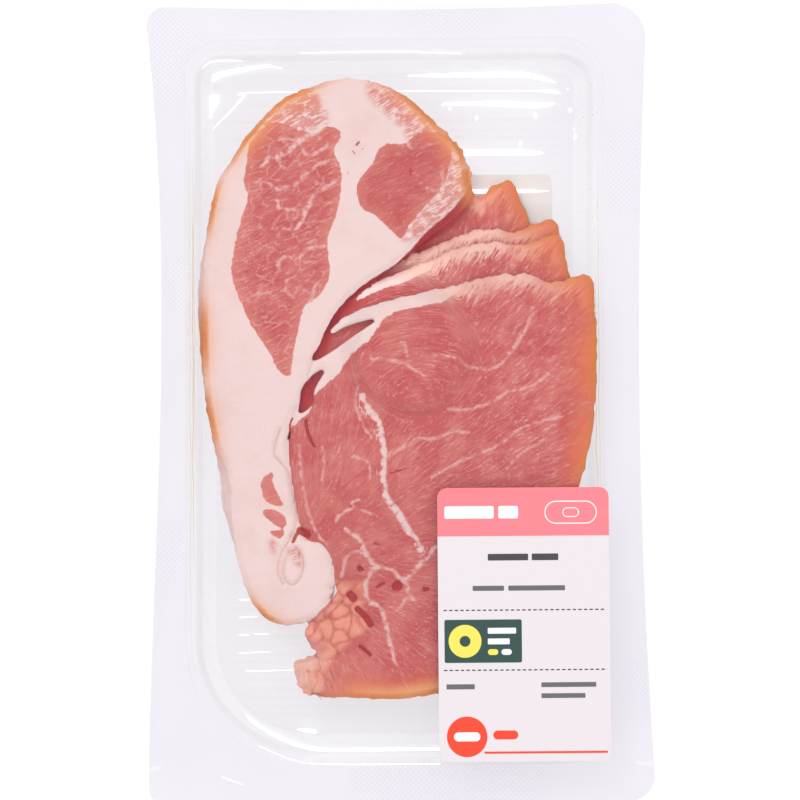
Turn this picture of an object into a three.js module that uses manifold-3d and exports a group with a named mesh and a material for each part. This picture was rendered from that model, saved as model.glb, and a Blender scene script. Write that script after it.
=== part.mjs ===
// Thick-cut bacon in a clear pack: a formed tray with a sealing flange and a ribbed floor, a clear lid film
// on the flange, a label on the film, a second label under the floor, and four slices fanned inside.
// Millimetres, +Z up, +Y towards the head of the pack. The origin lies under the middle of the flange,
// on the plane of the foot that the tray stands on.

import * as THREE from 'three';
import { mergeVertices } from 'three/addons/utils/BufferGeometryUtils.js';
import Module from 'manifold-3d';

const wasm = await Module();
wasm.setup();

// Sheet plastic, and the small clearances between the pieces
const SHEET = 0.6;
const SEAL_GAP = 0.05;
const CUT_MARGIN = 2;
const LEAST_RADIUS = 1;

// The tray: its flange, the mouth of its cavity, and how far each inner outline lies inside the mouth.
// A side that bows inwards is deepest at its waist, which is its middle unless given.
const MIDDLE_WAIST = 0.5;
const TRAY_HEIGHT = 16;
const FLANGE = {
  left: -78.6, right: 78.6, bottom: -125, top: 125,
  radii: { bottomRight: 8, topRight: 11, topLeft: 6, bottomLeft: 5 },
  bows: { bottom: 0, right: 3.3, top: 1.5, left: 4.4 },
  waists: { left: 0.37 },
};
const MOUTH = {
  left: -66.6, right: 64.9, bottom: -112.5, top: 114,
  radii: { bottomRight: 13, topRight: 13, topLeft: 11, bottomLeft: 38 },
  bows: { bottom: 0, right: 1.1, top: 0, left: 0.4 },
};
const WALL_DRAFT = 1.6;
const WALL_FOOT_FILLET = 1.6;
const FILLET_MIDDLE = 0.3;
const FOOT_WIDTH = 4.5;

// The tear notches at the foot of the flange's two long sides
const NOTCH_WIDTH = 1.7;
const NOTCHES = [
  { edge: -80, tip: -74.9, y: -113.2 },
  { edge: 80, tip: 72.4, y: -112.6 },
];

// The raised floor panel and its cross ribs
const PANEL_RISE = 1.2;
const PANEL_SLOPE = 0.8;
const RIB_PITCH = 5.55;
const RIB_RISE = 0.8;
const RIB_FOOT_WIDTH = 3.2;
const RIB_CREST_WIDTH = 1.7;
const RIB_END_MARGIN = 4;
const RIB_FIELD = { bottom: -101, top: 101 };

// The lid film, domed a little by the gas inside, and the two labels
const FILM_THICKNESS = 0.25;
const FILM_RISE = 0.8;
const LABEL_THICKNESS = 0.15;
const FRONT_LABEL = { left: 11.7, right: 65.2, bottom: -112.5, top: -27.4, radius: 3 };
const BACK_LABEL = { left: -4.1, right: 49.5, bottom: -12, top: 73, radius: 2.5 };

// The slices. Each is one sheet of two lobes, a fat one with two small muscles and a lean loin,
// joined beside the point that the loins are fanned about.
const SLICE_THICKNESS = 2.7;
const SLICE_GAP = 0.3;
const FAN_PIVOT = [-31.5, -31.5];
const FAT_LOBE = [
  [-35.3, -10.1], [-30.6, 1.6], [-26.1, 15.8], [-21.1, 26.8], [-12, 36.5], [0.6, 44.7], [8.4, 53.2],
  [17.3, 61.1], [21.7, 68], [16.4, 81.9], [3.1, 93.9], [-15.8, 100.8], [-34.6, 93.9], [-46.5, 84.3],
  [-54.5, 73.7], [-59, 58], [-60.8, 36.2], [-60.5, 6.3], [-57.8, -11.5], [-53.6, -21.5],
  [-52.3, -33], [-51.2, -45], [-46.5, -61.5], [-40, -69], [-34, -70.2], [-27, -67.3], [-21.3, -60],
  [-21, -50.4], [-24.4, -44.6], [-31, -40],
];
const LOIN_LOBE = [
  [-34, -12.6], [-29, 8.8], [-24.3, 17.3], [-17.3, 25.8], [-4.7, 30.9], [9.4, 34], [22.1, 37.2],
  [40.3, 41], [47.9, 37.2], [59.2, 38.1], [61.4, 31.5], [60.8, -6.3], [57.6, -21.4], [49.1, -45.7],
  [37.8, -69.3], [25.2, -84.4], [11.7, -91.3], [-1.6, -93.6], [-15.8, -92.3], [-29.6, -90.7],
  [-32.8, -82.5], [-25.5, -78.8], [-29.6, -74], [-25.8, -65.8], [-19.2, -60.2], [-22.1, -50.4],
  [-30.2, -44.1],
];
// Two tears along the fat band of the top slice, where the slices under it show
const TEARS = [
  [[-27.7, 12.3], [-24.6, 18.9], [-17.3, 23.3], [-6.3, 26.1], [-13.5, 21.1], [-22.1, 15.1]],
  [[-31.8, -3.8], [-31.2, 1.6], [-29.6, 6.3], [-22.7, 10.7], [-26.5, 3.8], [-27.1, -0.9]],
];
// The rolled-up end of the top slice's fat lobe, thicker than the rest
const ROLL = { x: -31, y: -56, reach: 14, rise: 1 };
// Where the fat lobes under the top one stand out past it, and which way
const PEEKS = [
  { x: -61, y: 28, reach: 24, towards: [-0.7, 0] },
  { x: -55, y: -28, reach: 13, towards: [-1.1, 0] },
  { x: 17, y: 63, reach: 17, towards: [0.75, -0.8] },
];
// From the top slice down: the turn of the loin in degrees, its shift, and how far the fat lobe stands out
const STACK = [
  { name: 'slice_1', turn: 0, loinShift: [0, 0], peek: 0, tears: TEARS, roll: ROLL },
  { name: 'slice_2', turn: 8.3, loinShift: [1.3, 1.3], peek: 1.3, tears: [], roll: null },
  { name: 'slice_3', turn: 10.5, loinShift: [3.1, 3.3], peek: 2.5, tears: [], roll: null },
  { name: 'slice_4', turn: 19.4, loinShift: [3.7, 5.5], peek: 3.7, tears: [], roll: null },
];

// How finely outlines and draped sheets are cut
const NOTCH_STEPS = 4;
const CORNER_STEPS = 8;
const SIDE_STEPS = 6;
const SPLINE_STEPS_PER_POINT = 3;
const DRAPE_FIELD = { left: -70, right: 70, bottom: -98, top: 105 };
const DRAPE_CELL = 7;
const DRAPE_SAG = 0.25;
const DRAPE_PASSES = 80;
const FILM_CELL = 26;

const TRAY_TOP = TRAY_HEIGHT;
const FLOOR_TOP = SHEET + PANEL_RISE;
const RIB_TOP = FLOOR_TOP + RIB_RISE;

// Materials, one for each kind of surface
const clearPlastic = (opacity) => new THREE.MeshStandardMaterial({
  color: 0xe9e8f2, roughness: 0.12, metalness: 0, transparent: true, opacity,
});
const MATERIALS = {
  tray: clearPlastic(0.35),
  film: clearPlastic(0.15),
  frontLabel: new THREE.MeshStandardMaterial({ color: 0xf6e6ec, roughness: 0.45, metalness: 0 }),
  backLabel: new THREE.MeshStandardMaterial({ color: 0xf3f1e6, roughness: 0.6, metalness: 0 }),
  meat: new THREE.MeshStandardMaterial({ color: 0xcc6868, roughness: 0.35, metalness: 0 }),
};

// A closed mesh as a solid that can be cut and joined
function toSolid(geometry) {
  geometry.deleteAttribute('normal');
  geometry.deleteAttribute('uv');
  const merged = mergeVertices(geometry);
  return new wasm.Manifold(new wasm.Mesh({
    numProp: 3,
    vertProperties: new Float32Array(merged.attributes.position.array),
    triVerts: new Uint32Array(merged.index.array),
  }));
}

// A solid as a geometry again
function toGeometry(solid) {
  const mesh = solid.getMesh();
  const geometry = new THREE.BufferGeometry();
  geometry.setAttribute('position', new THREE.BufferAttribute(new Float32Array(mesh.vertProperties), 3));
  geometry.setIndex(new THREE.BufferAttribute(new Uint32Array(mesh.triVerts), 1));
  geometry.computeVertexNormals();
  return geometry;
}

function geometryFrom(positions, faces) {
  const geometry = new THREE.BufferGeometry();
  geometry.setAttribute('position', new THREE.Float32BufferAttribute(positions, 3));
  geometry.setIndex(faces);
  return geometry;
}

// How far a bowed side lies inwards at a share of its length. It is deepest at its waist.
function bowDepth({ bow, waist }, along) {
  const fall = (1 - waist) / waist;
  const shape = (share) => share * (1 - share) ** fall;
  return (bow * shape(along)) / shape(waist);
}

// The anticlockwise outline of a rectangle with round corners, whose sides may bow inwards at a waist.
// Every such outline has the same number of points, so that two of them can be lofted.
function roundedOutline({ left, right, bottom, top, radii, bows, waists = {} }, inset = 0) {
  const corners = [
    { x: right, y: bottom, towards: [-1, 1], radius: radii.bottomRight, start: -Math.PI / 2, side: 'right' },
    { x: right, y: top, towards: [-1, -1], radius: radii.topRight, start: 0, side: 'top' },
    { x: left, y: top, towards: [1, -1], radius: radii.topLeft, start: Math.PI / 2, side: 'left' },
    { x: left, y: bottom, towards: [1, 1], radius: radii.bottomLeft, start: Math.PI, side: 'bottom' },
  ].map(({ x, y, towards: [dx, dy], radius, start, side }) => ({
    centre: new THREE.Vector2(x + dx * radius, y + dy * radius),
    radius: Math.max(radius - inset, LEAST_RADIUS),
    slack: Math.max(inset - radius + LEAST_RADIUS, 0),
    towards: new THREE.Vector2(dx, dy),
    start,
    bow: bows[side],
    waist: waists[side] ?? MIDDLE_WAIST,
  }));
  const arcs = corners.map(({ centre, radius, slack, towards, start }) => {
    const middle = centre.clone().addScaledVector(towards, slack);
    return Array.from({ length: CORNER_STEPS + 1 }, (_, step) => {
      const angle = start + (step / CORNER_STEPS) * (Math.PI / 2);
      return new THREE.Vector2(Math.cos(angle), Math.sin(angle)).multiplyScalar(radius).add(middle);
    });
  });
  return arcs.flatMap((arc, index) => {
    const from = arc.at(-1);
    const to = arcs[(index + 1) % arcs.length][0];
    const inwards = to.clone().sub(from).normalize().rotateAround(new THREE.Vector2(), Math.PI / 2);
    const side = Array.from({ length: SIDE_STEPS - 1 }, (_, step) => {
      const along = (step + 1) / SIDE_STEPS;
      const depth = bowDepth(corners[index], along);
      return from.clone().lerp(to, along).addScaledVector(inwards, depth);
    });
    return [...arc, ...side];
  });
}

const plainRectangle = ({ left, right, bottom, top, radius }) => roundedOutline({
  left, right, bottom, top,
  radii: { bottomRight: radius, topRight: radius, topLeft: radius, bottomLeft: radius },
  bows: { bottom: 0, right: 0, top: 0, left: 0 },
});

// A closed body through outlines of equal length, given from the lowest up
function loft(levels) {
  const count = levels[0].outline.length;
  const positions = levels.flatMap(({ outline, z }) => outline.flatMap(({ x, y }) => [x, y, z]));
  const faces = [];
  for (let level = 0; level < levels.length - 1; level += 1) {
    for (let point = 0; point < count; point += 1) {
      const here = level * count + point;
      const next = level * count + ((point + 1) % count);
      faces.push(here, next, next + count, here, next + count, here + count);
    }
  }
  const last = (levels.length - 1) * count;
  for (const [a, b, c] of THREE.ShapeUtils.triangulateShape(levels[0].outline, [])) {
    faces.push(a, c, b);
  }
  for (const [a, b, c] of THREE.ShapeUtils.triangulateShape(levels.at(-1).outline, [])) {
    faces.push(last + a, last + b, last + c);
  }
  return toSolid(geometryFrom(positions, faces));
}

const prism = (outline, low, high) => loft([{ outline, z: low }, { outline, z: high }]);

// A smooth closed outline through hand-placed points, each passed through a placing function first
function splineOutline(points, place = (point) => point) {
  const corners = points.map((point) => {
    const [x, y] = place(point);
    return new THREE.Vector3(x, y, 0);
  });
  const curve = new THREE.CatmullRomCurve3(corners, true, 'centripetal');
  const samples = curve.getPoints(points.length * SPLINE_STEPS_PER_POINT).slice(0, -1);
  const outline = samples.map(({ x, y }) => new THREE.Vector2(x, y));
  return THREE.ShapeUtils.isClockWise(outline) ? outline.reverse() : outline;
}

// A slab on a grid that all slabs share. Its underside follows a height field.
function slab(heightAt, thicknessAt, { columns, rows }) {
  const nodes = rows.flatMap((y) => columns.map((x) => [x, y, heightAt(x, y)]));
  const positions = [...nodes, ...nodes.map(([x, y, z]) => [x, y, z + thicknessAt(x, y)])].flat();
  const faces = [];
  const at = (column, row) => row * columns.length + column;
  const over = nodes.length;
  for (let row = 0; row < rows.length - 1; row += 1) {
    for (let column = 0; column < columns.length - 1; column += 1) {
      const [a, b] = [at(column, row), at(column + 1, row)];
      const [c, d] = [at(column + 1, row + 1), at(column, row + 1)];
      faces.push(a, c, b, a, d, c);
      faces.push(over + a, over + b, over + c, over + a, over + c, over + d);
    }
  }
  const lastColumn = columns.length - 1;
  const lastRow = rows.length - 1;
  const rim = [
    ...columns.slice(0, -1).map((_, column) => at(column, 0)),
    ...rows.slice(0, -1).map((_, row) => at(lastColumn, row)),
    ...columns.slice(0, -1).map((_, column) => at(lastColumn - column, lastRow)),
    ...rows.slice(0, -1).map((_, row) => at(0, lastRow - row)),
  ];
  rim.forEach((here, index) => {
    const next = rim[(index + 1) % rim.length];
    faces.push(here, next, over + next, here, over + next, over + here);
  });
  return toSolid(geometryFrom(positions, faces));
}

function gridLines(from, to, step) {
  const count = Math.ceil((to - from) / step);
  return Array.from({ length: count + 1 }, (_, index) => from + ((to - from) * index) / count);
}

// The levels of the tray's cavity, its wall drafted and turned into the floor by a fillet
function cavityLevels(offset, low, high) {
  const footInset = WALL_DRAFT + WALL_FOOT_FILLET;
  return [
    { outline: roundedOutline(MOUTH, footInset - offset), z: low },
    {
      outline: roundedOutline(MOUTH, WALL_DRAFT + FILLET_MIDDLE * WALL_FOOT_FILLET - offset),
      z: low + FILLET_MIDDLE * WALL_FOOT_FILLET,
    },
    { outline: roundedOutline(MOUTH, WALL_DRAFT - offset), z: low + WALL_FOOT_FILLET },
    { outline: roundedOutline(MOUTH, -offset), z: high },
  ];
}

// A body under the floor panel's skin, or the panel itself, in two levels with sloping sides
function panelBlock(low, high, inset) {
  const edge = WALL_DRAFT + WALL_FOOT_FILLET + FOOT_WIDTH + inset;
  return loft([
    { outline: roundedOutline(MOUTH, edge), z: low },
    { outline: roundedOutline(MOUTH, edge + PANEL_SLOPE), z: high },
  ]);
}

// The cross ribs as bars with sloping flanks, from a low level to a crest, cut to the panel's outline
function ribBars(low, crest, narrowing) {
  const halfFoot = RIB_FOOT_WIDTH / 2 - narrowing;
  const halfCrest = RIB_CREST_WIDTH / 2 - narrowing;
  const footLevel = crest - RIB_RISE;
  const section = new THREE.Shape([
    new THREE.Vector2(-halfFoot, low),
    new THREE.Vector2(halfFoot, low),
    new THREE.Vector2(halfFoot, footLevel),
    new THREE.Vector2(halfCrest, crest),
    new THREE.Vector2(-halfCrest, crest),
    new THREE.Vector2(-halfFoot, footLevel),
  ]);
  const length = MOUTH.right - MOUTH.left;
  const count = Math.floor((RIB_FIELD.top - RIB_FIELD.bottom) / RIB_PITCH);
  const middle = (RIB_FIELD.top + RIB_FIELD.bottom) / 2;
  const bars = Array.from({ length: count }, (_, index) => {
    const bar = new THREE.ExtrudeGeometry(section, { depth: length, bevelEnabled: false, steps: 1 });
    bar.rotateX(Math.PI / 2);
    bar.rotateZ(Math.PI / 2);
    bar.translate(MOUTH.left, middle + (index - (count - 1) / 2) * RIB_PITCH, 0);
    return toSolid(bar);
  });
  const edge = WALL_DRAFT + WALL_FOOT_FILLET + FOOT_WIDTH + RIB_END_MARGIN + narrowing;
  const field = prism(roundedOutline(MOUTH, edge), low - CUT_MARGIN, crest + CUT_MARGIN);
  return bars.reduce((all, bar) => all.add(bar)).intersect(field);
}

// Both tear notches cut out of the tray or the film: straight on the upper side and round below
function cutNotches(solid) {
  return NOTCHES.reduce((rest, { edge, tip, y }) => {
    const depth = tip - edge;
    const arc = Array.from({ length: NOTCH_STEPS }, (_, step) => {
      const angle = (step / NOTCH_STEPS) * (Math.PI / 2);
      return new THREE.Vector2(tip - depth * (1 - Math.cos(angle)), y - NOTCH_WIDTH * Math.sin(angle));
    });
    const outline = [...arc, new THREE.Vector2(edge, y - NOTCH_WIDTH), new THREE.Vector2(edge, y)];
    const around = THREE.ShapeUtils.isClockWise(outline) ? outline.reverse() : outline;
    return rest.subtract(prism(around, TRAY_TOP - CUT_MARGIN, TRAY_TOP + CUT_MARGIN));
  }, solid);
}

function makeTray() {
  const shell = loft(cavityLevels(SHEET, 0, TRAY_TOP - SHEET))
    .add(prism(roundedOutline(FLANGE), TRAY_TOP - SHEET, TRAY_TOP));
  const panel = panelBlock(SHEET - CUT_MARGIN, FLOOR_TOP, 0);
  const ribs = ribBars(SHEET, RIB_TOP, 0);
  const cavity = loft(cavityLevels(0, SHEET, TRAY_TOP + CUT_MARGIN)).subtract(panel).subtract(ribs);
  const pocket = panelBlock(-CUT_MARGIN, PANEL_RISE, SHEET);
  const grooves = ribBars(0, RIB_TOP - SHEET, SHEET / 2);
  return cutNotches(shell.subtract(cavity).subtract(pocket).subtract(grooves));
}

// The film's underside: flat on the flange, and raised in the middle of the mouth
function filmHeight(x, y) {
  const across = 1 - ((x - (MOUTH.left + MOUTH.right) / 2) / ((MOUTH.right - MOUTH.left) / 2)) ** 2;
  const along = 1 - ((y - (MOUTH.bottom + MOUTH.top) / 2) / ((MOUTH.top - MOUTH.bottom) / 2)) ** 2;
  const rise = FILM_RISE * Math.sqrt(Math.max(across, 0) * Math.max(along, 0));
  return TRAY_TOP + SEAL_GAP + rise;
}

const FILM_GRID = {
  columns: [
    FLANGE.left - CUT_MARGIN,
    ...gridLines(MOUTH.left, MOUTH.right, FILM_CELL / 2),
    FLANGE.right + CUT_MARGIN,
  ],
  rows: [
    FLANGE.bottom - CUT_MARGIN,
    ...gridLines(MOUTH.bottom, MOUTH.top, FILM_CELL),
    FLANGE.top + CUT_MARGIN,
  ],
};

function makeFilm() {
  const outline = prism(roundedOutline(FLANGE), TRAY_TOP - CUT_MARGIN, TRAY_TOP + 2 * CUT_MARGIN);
  return cutNotches(slab(filmHeight, () => FILM_THICKNESS, FILM_GRID).intersect(outline));
}

function makeFrontLabel() {
  const underside = (x, y) => filmHeight(x, y) + FILM_THICKNESS + SEAL_GAP;
  const outline = prism(plainRectangle(FRONT_LABEL), TRAY_TOP - CUT_MARGIN, TRAY_TOP + 2 * CUT_MARGIN);
  return slab(underside, () => LABEL_THICKNESS, FILM_GRID).intersect(outline);
}

function makeBackLabel() {
  const top = PANEL_RISE - SEAL_GAP;
  return prism(plainRectangle(BACK_LABEL), top - LABEL_THICKNESS, top);
}

// Where a point of the fat lobe or of the loin lies in one slice of the stack
const bell = (distance, reach) => Math.exp(-((distance / reach) ** 2));
const placeFat = ({ peek }) => ([x, y]) => PEEKS.reduce((place, { x: atX, y: atY, reach, towards }) => {
  const share = peek * bell(Math.hypot(x - atX, y - atY), reach);
  return [place[0] + share * towards[0], place[1] + share * towards[1]];
}, [x, y]);
const placeLoin = ({ turn, loinShift }) => ([x, y]) => {
  const point = new THREE.Vector2(x, y)
    .rotateAround(new THREE.Vector2(...FAN_PIVOT), THREE.MathUtils.degToRad(turn));
  return [point.x + loinShift[0], point.y + loinShift[1]];
};

// How much thicker a slice is over its rolled-up end, if it has one
function rollRise(roll, x, y) {
  return roll ? roll.rise * bell(Math.hypot(x - roll.x, y - roll.y), roll.reach) : 0;
}

// Even-odd test of a point against an outline
function holds(outline, x, y) {
  let inside = false;
  outline.forEach((here, index) => {
    const next = outline[(index + 1) % outline.length];
    if ((here.y > y) !== (next.y > y)) {
      const crossing = here.x + ((next.x - here.x) * (y - here.y)) / (next.y - here.y);
      inside = x < crossing ? !inside : inside;
    }
  });
  return inside;
}

const DRAPE_GRID = {
  columns: gridLines(DRAPE_FIELD.left, DRAPE_FIELD.right, DRAPE_CELL),
  rows: gridLines(DRAPE_FIELD.bottom, DRAPE_FIELD.top, DRAPE_CELL),
};

// The nodes of the drape grid that a slice covers, with every node of a cell that it touches
function coverage(outlines) {
  const { columns, rows } = DRAPE_GRID;
  const cover = rows.map(() => columns.map(() => false));
  const touch = (x, y) => {
    const column = Math.min(columns.findIndex((line) => line > x), columns.length - 1);
    const row = Math.min(rows.findIndex((line) => line > y), rows.length - 1);
    for (const [c, r] of [[column, row], [column - 1, row], [column, row - 1], [column - 1, row - 1]]) {
      cover[r][c] = true;
    }
  };
  rows.forEach((y, row) => columns.forEach((x, column) => {
    if (outlines.some((outline) => holds(outline, x, y))) {
      for (const r of [row - 1, row, row + 1]) {
        for (const c of [column - 1, column, column + 1]) {
          cover[r][c] = true;
        }
      }
    }
  }));
  outlines.flat().forEach(({ x, y }) => touch(x, y));
  return cover;
}

// The heights that a limp sheet takes when it is laid on a support: never below it, and between the
// places that hold it up no stiffer than its sag allows
function drape(support, cover) {
  const heights = support.map((line) => [...line]);
  for (let pass = 0; pass < DRAPE_PASSES; pass += 1) {
    heights.forEach((line, row) => line.forEach((_, column) => {
      if (!cover[row][column]) {
        return;
      }
      const beside = [[row - 1, column], [row + 1, column], [row, column - 1], [row, column + 1]]
        .filter(([r, c]) => cover[r]?.[c]);
      const mean = beside.reduce((sum, [r, c]) => sum + heights[r][c], 0) / beside.length;
      heights[row][column] = Math.max(support[row][column], mean - DRAPE_SAG);
    }));
  }
  return heights;
}

function makeSlices() {
  const { columns, rows } = DRAPE_GRID;
  const support = rows.map(() => columns.map(() => RIB_TOP + SLICE_GAP));
  const solids = new Map();
  for (const slice of [...STACK].reverse()) {
    const outlines = [
      splineOutline(FAT_LOBE, placeFat(slice)),
      splineOutline(LOIN_LOBE, placeLoin(slice)),
    ];
    const cover = coverage(outlines);
    const heights = drape(support, cover);
    const heightAt = (x, y) => heights[rows.indexOf(y)][columns.indexOf(x)];
    const thicknessAt = (x, y) => SLICE_THICKNESS + rollRise(slice.roll, x, y);
    const [fat, loin] = outlines.map((outline) => prism(outline, -CUT_MARGIN, 2 * TRAY_HEIGHT));
    let solid = slab(heightAt, thicknessAt, DRAPE_GRID).intersect(fat.add(loin));
    for (const tear of slice.tears) {
      solid = solid.subtract(prism(splineOutline(tear), -CUT_MARGIN, 2 * TRAY_HEIGHT));
    }
    solids.set(slice.name, solid);
    heights.forEach((line, row) => line.forEach((height, column) => {
      if (cover[row][column]) {
        support[row][column] = height + SLICE_THICKNESS + SLICE_GAP;
      }
    }));
  }
  return solids;
}

function addMesh(group, name, solid, material) {
  const mesh = new THREE.Mesh(toGeometry(solid), material);
  mesh.name = name;
  group.add(mesh);
}

const pack = new THREE.Group();
addMesh(pack, 'tray', makeTray(), MATERIALS.tray);
addMesh(pack, 'lid_film', makeFilm(), MATERIALS.film);
addMesh(pack, 'front_label', makeFrontLabel(), MATERIALS.frontLabel);
addMesh(pack, 'back_label', makeBackLabel(), MATERIALS.backLabel);
const slices = makeSlices();
for (const { name } of STACK) {
  addMesh(pack, name, slices.get(name), MATERIALS.meat);
}

export default pack;
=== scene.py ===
"""Dresses the bacon pack around its solids.

A clear formed tray with a ribbed floor, a clear lid film, a printed label on the film, a plain label
under the floor, and four slices of bacon with the moisture round them. Sizes in the classes are in
millimetres, and the scene is in metres in the frame of the solids: +Z up, +Y towards the pack's head.
"""

import logging
import math
from dataclasses import dataclass
from enum import Enum
from typing import Callable, Sequence

import bpy
import numpy as np
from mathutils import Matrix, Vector, noise


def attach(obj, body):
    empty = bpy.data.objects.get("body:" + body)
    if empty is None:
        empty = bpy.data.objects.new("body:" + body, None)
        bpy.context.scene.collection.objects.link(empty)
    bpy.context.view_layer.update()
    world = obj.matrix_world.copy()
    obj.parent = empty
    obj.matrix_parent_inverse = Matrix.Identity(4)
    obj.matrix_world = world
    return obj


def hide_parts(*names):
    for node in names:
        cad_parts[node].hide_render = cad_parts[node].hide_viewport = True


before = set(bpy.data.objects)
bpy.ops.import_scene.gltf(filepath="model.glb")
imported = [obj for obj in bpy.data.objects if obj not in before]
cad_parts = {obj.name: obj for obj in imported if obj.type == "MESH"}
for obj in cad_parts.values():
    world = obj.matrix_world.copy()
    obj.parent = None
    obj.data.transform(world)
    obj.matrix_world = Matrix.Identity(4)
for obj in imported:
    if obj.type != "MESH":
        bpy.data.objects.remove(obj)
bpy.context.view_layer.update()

LOG = logging.getLogger("bacon_pack")
MM = 0.001
TINY = 1e-9
FAR = 99.0
BODY = "root"
Colour = tuple[float, float, float]
Point = tuple[float, float]

# Sheet, heights and wall draft of the tray and of what lies on it, as the solids have them
SHEET = 0.6
TRAY_TOP = 16.0
FILM_UNDERSIDE = 16.05
FILM_RISE = 0.8
LABEL_UNDERSIDE = 16.35
FLOOR_TOP = 1.8
WALL_DRAFT = 1.6


# Plain geometry


def smoothstep(low: float, high: float, values: np.ndarray) -> np.ndarray:
    """Rises smoothly from 0 at low to 1 at high.

    Args:
        low: Value at which the rise starts.
        high: Value at which it ends.
        values: What is mapped.

    Returns:
        The share of the rise for each value.
    """
    share = np.clip((values - low) / (high - low), 0.0, 1.0)
    return share * share * (3.0 - 2.0 * share)


def smooth_path(points: Sequence[Point], closed: bool = True, steps: int = 6) -> np.ndarray:
    """Runs a smooth curve through listed points.

    Args:
        points: The points, in order.
        closed: Whether the last point joins the first.
        steps: Pieces between two points.

    Returns:
        The curve's points, one row each.
    """
    knots = np.array(points, float)
    before = np.roll(knots, 1, axis=0)
    after = np.roll(knots, -1, axis=0)
    beyond = np.roll(knots, -2, axis=0)
    if not closed:
        before[0], after[-1], beyond[-1], beyond[-2] = knots[0], knots[-1], knots[-1], knots[-1]
    rows = []
    for index in range(len(knots) if closed else len(knots) - 1):
        for step in range(steps):
            share = step / steps
            a, b, c, d = before[index], knots[index], after[index], beyond[index]
            rows.append(
                b
                + 0.5 * share * (c - a)
                + share**2 * (a - 2.5 * b + 2.0 * c - 0.5 * d)
                + share**3 * (1.5 * b - 0.5 * a - 1.5 * c + 0.5 * d)
            )
    if not closed:
        rows.append(knots[-1])
    return np.array(rows)


def way_to_edge(points: np.ndarray, start: np.ndarray, end: np.ndarray) -> np.ndarray:
    """The way in plan to each point from the nearest place on a straight edge.

    Args:
        points: Points, of which x and y count.
        start: Where the edge starts.
        end: Where it ends.

    Returns:
        One row, along x and along y, for each point.
    """
    along = end - start
    offset = points[:, :2] - start
    share = np.clip(offset @ along / max(float(along @ along), TINY), 0.0, 1.0)
    return offset - share[:, None] * along


def distance_to(points: np.ndarray, path: np.ndarray, closed: bool = True) -> np.ndarray:
    """Distance in plan from each point to a path.

    Args:
        points: Points, of which x and y count.
        path: The path's points.
        closed: Whether its last point joins its first.

    Returns:
        One distance for each point.
    """
    ends = np.roll(path, -1, axis=0) if closed else path[1:]
    nearest = np.full(len(points), np.inf)
    for start, end in zip(path, ends):
        gap = way_to_edge(points, start, end)
        nearest = np.minimum(nearest, np.einsum("ij,ij->i", gap, gap))
    return np.sqrt(nearest)


def depth_inside(points: np.ndarray, outline: np.ndarray) -> np.ndarray:
    """How far each point lies inside a closed outline in plan, negative outside it."""
    inside = np.zeros(len(points), bool)
    x, y = points[:, 0], points[:, 1]
    for (x0, y0), (x1, y1) in zip(outline, np.roll(outline, -1, axis=0)):
        if y0 != y1:
            crossing = x0 + (x1 - x0) * (y - y0) / (y1 - y0)
            inside ^= ((y0 > y) != (y1 > y)) & (x < crossing)
    return np.where(inside, 1.0, -1.0) * distance_to(points, outline)


def bell(points: np.ndarray, spots: Sequence[tuple[float, float, float]]) -> np.ndarray:
    """The highest of several soft round spots, each x, y and reach, at each point."""
    found = np.zeros(len(points))
    for x, y, reach in spots:
        gap = np.hypot(points[:, 0] - x, points[:, 1] - y)
        found = np.maximum(found, np.exp(-((gap / reach) ** 2)))
    return found


def rough(points: np.ndarray, size: float, seed: float = 0.0) -> np.ndarray:
    """Smooth random values between about -1 and 1, whose bumps are of a given size."""
    offset = Vector((seed, 1.7 * seed, 2.3 * seed))
    return np.array([noise.noise(Vector(row) / size + offset) for row in points])


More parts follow.
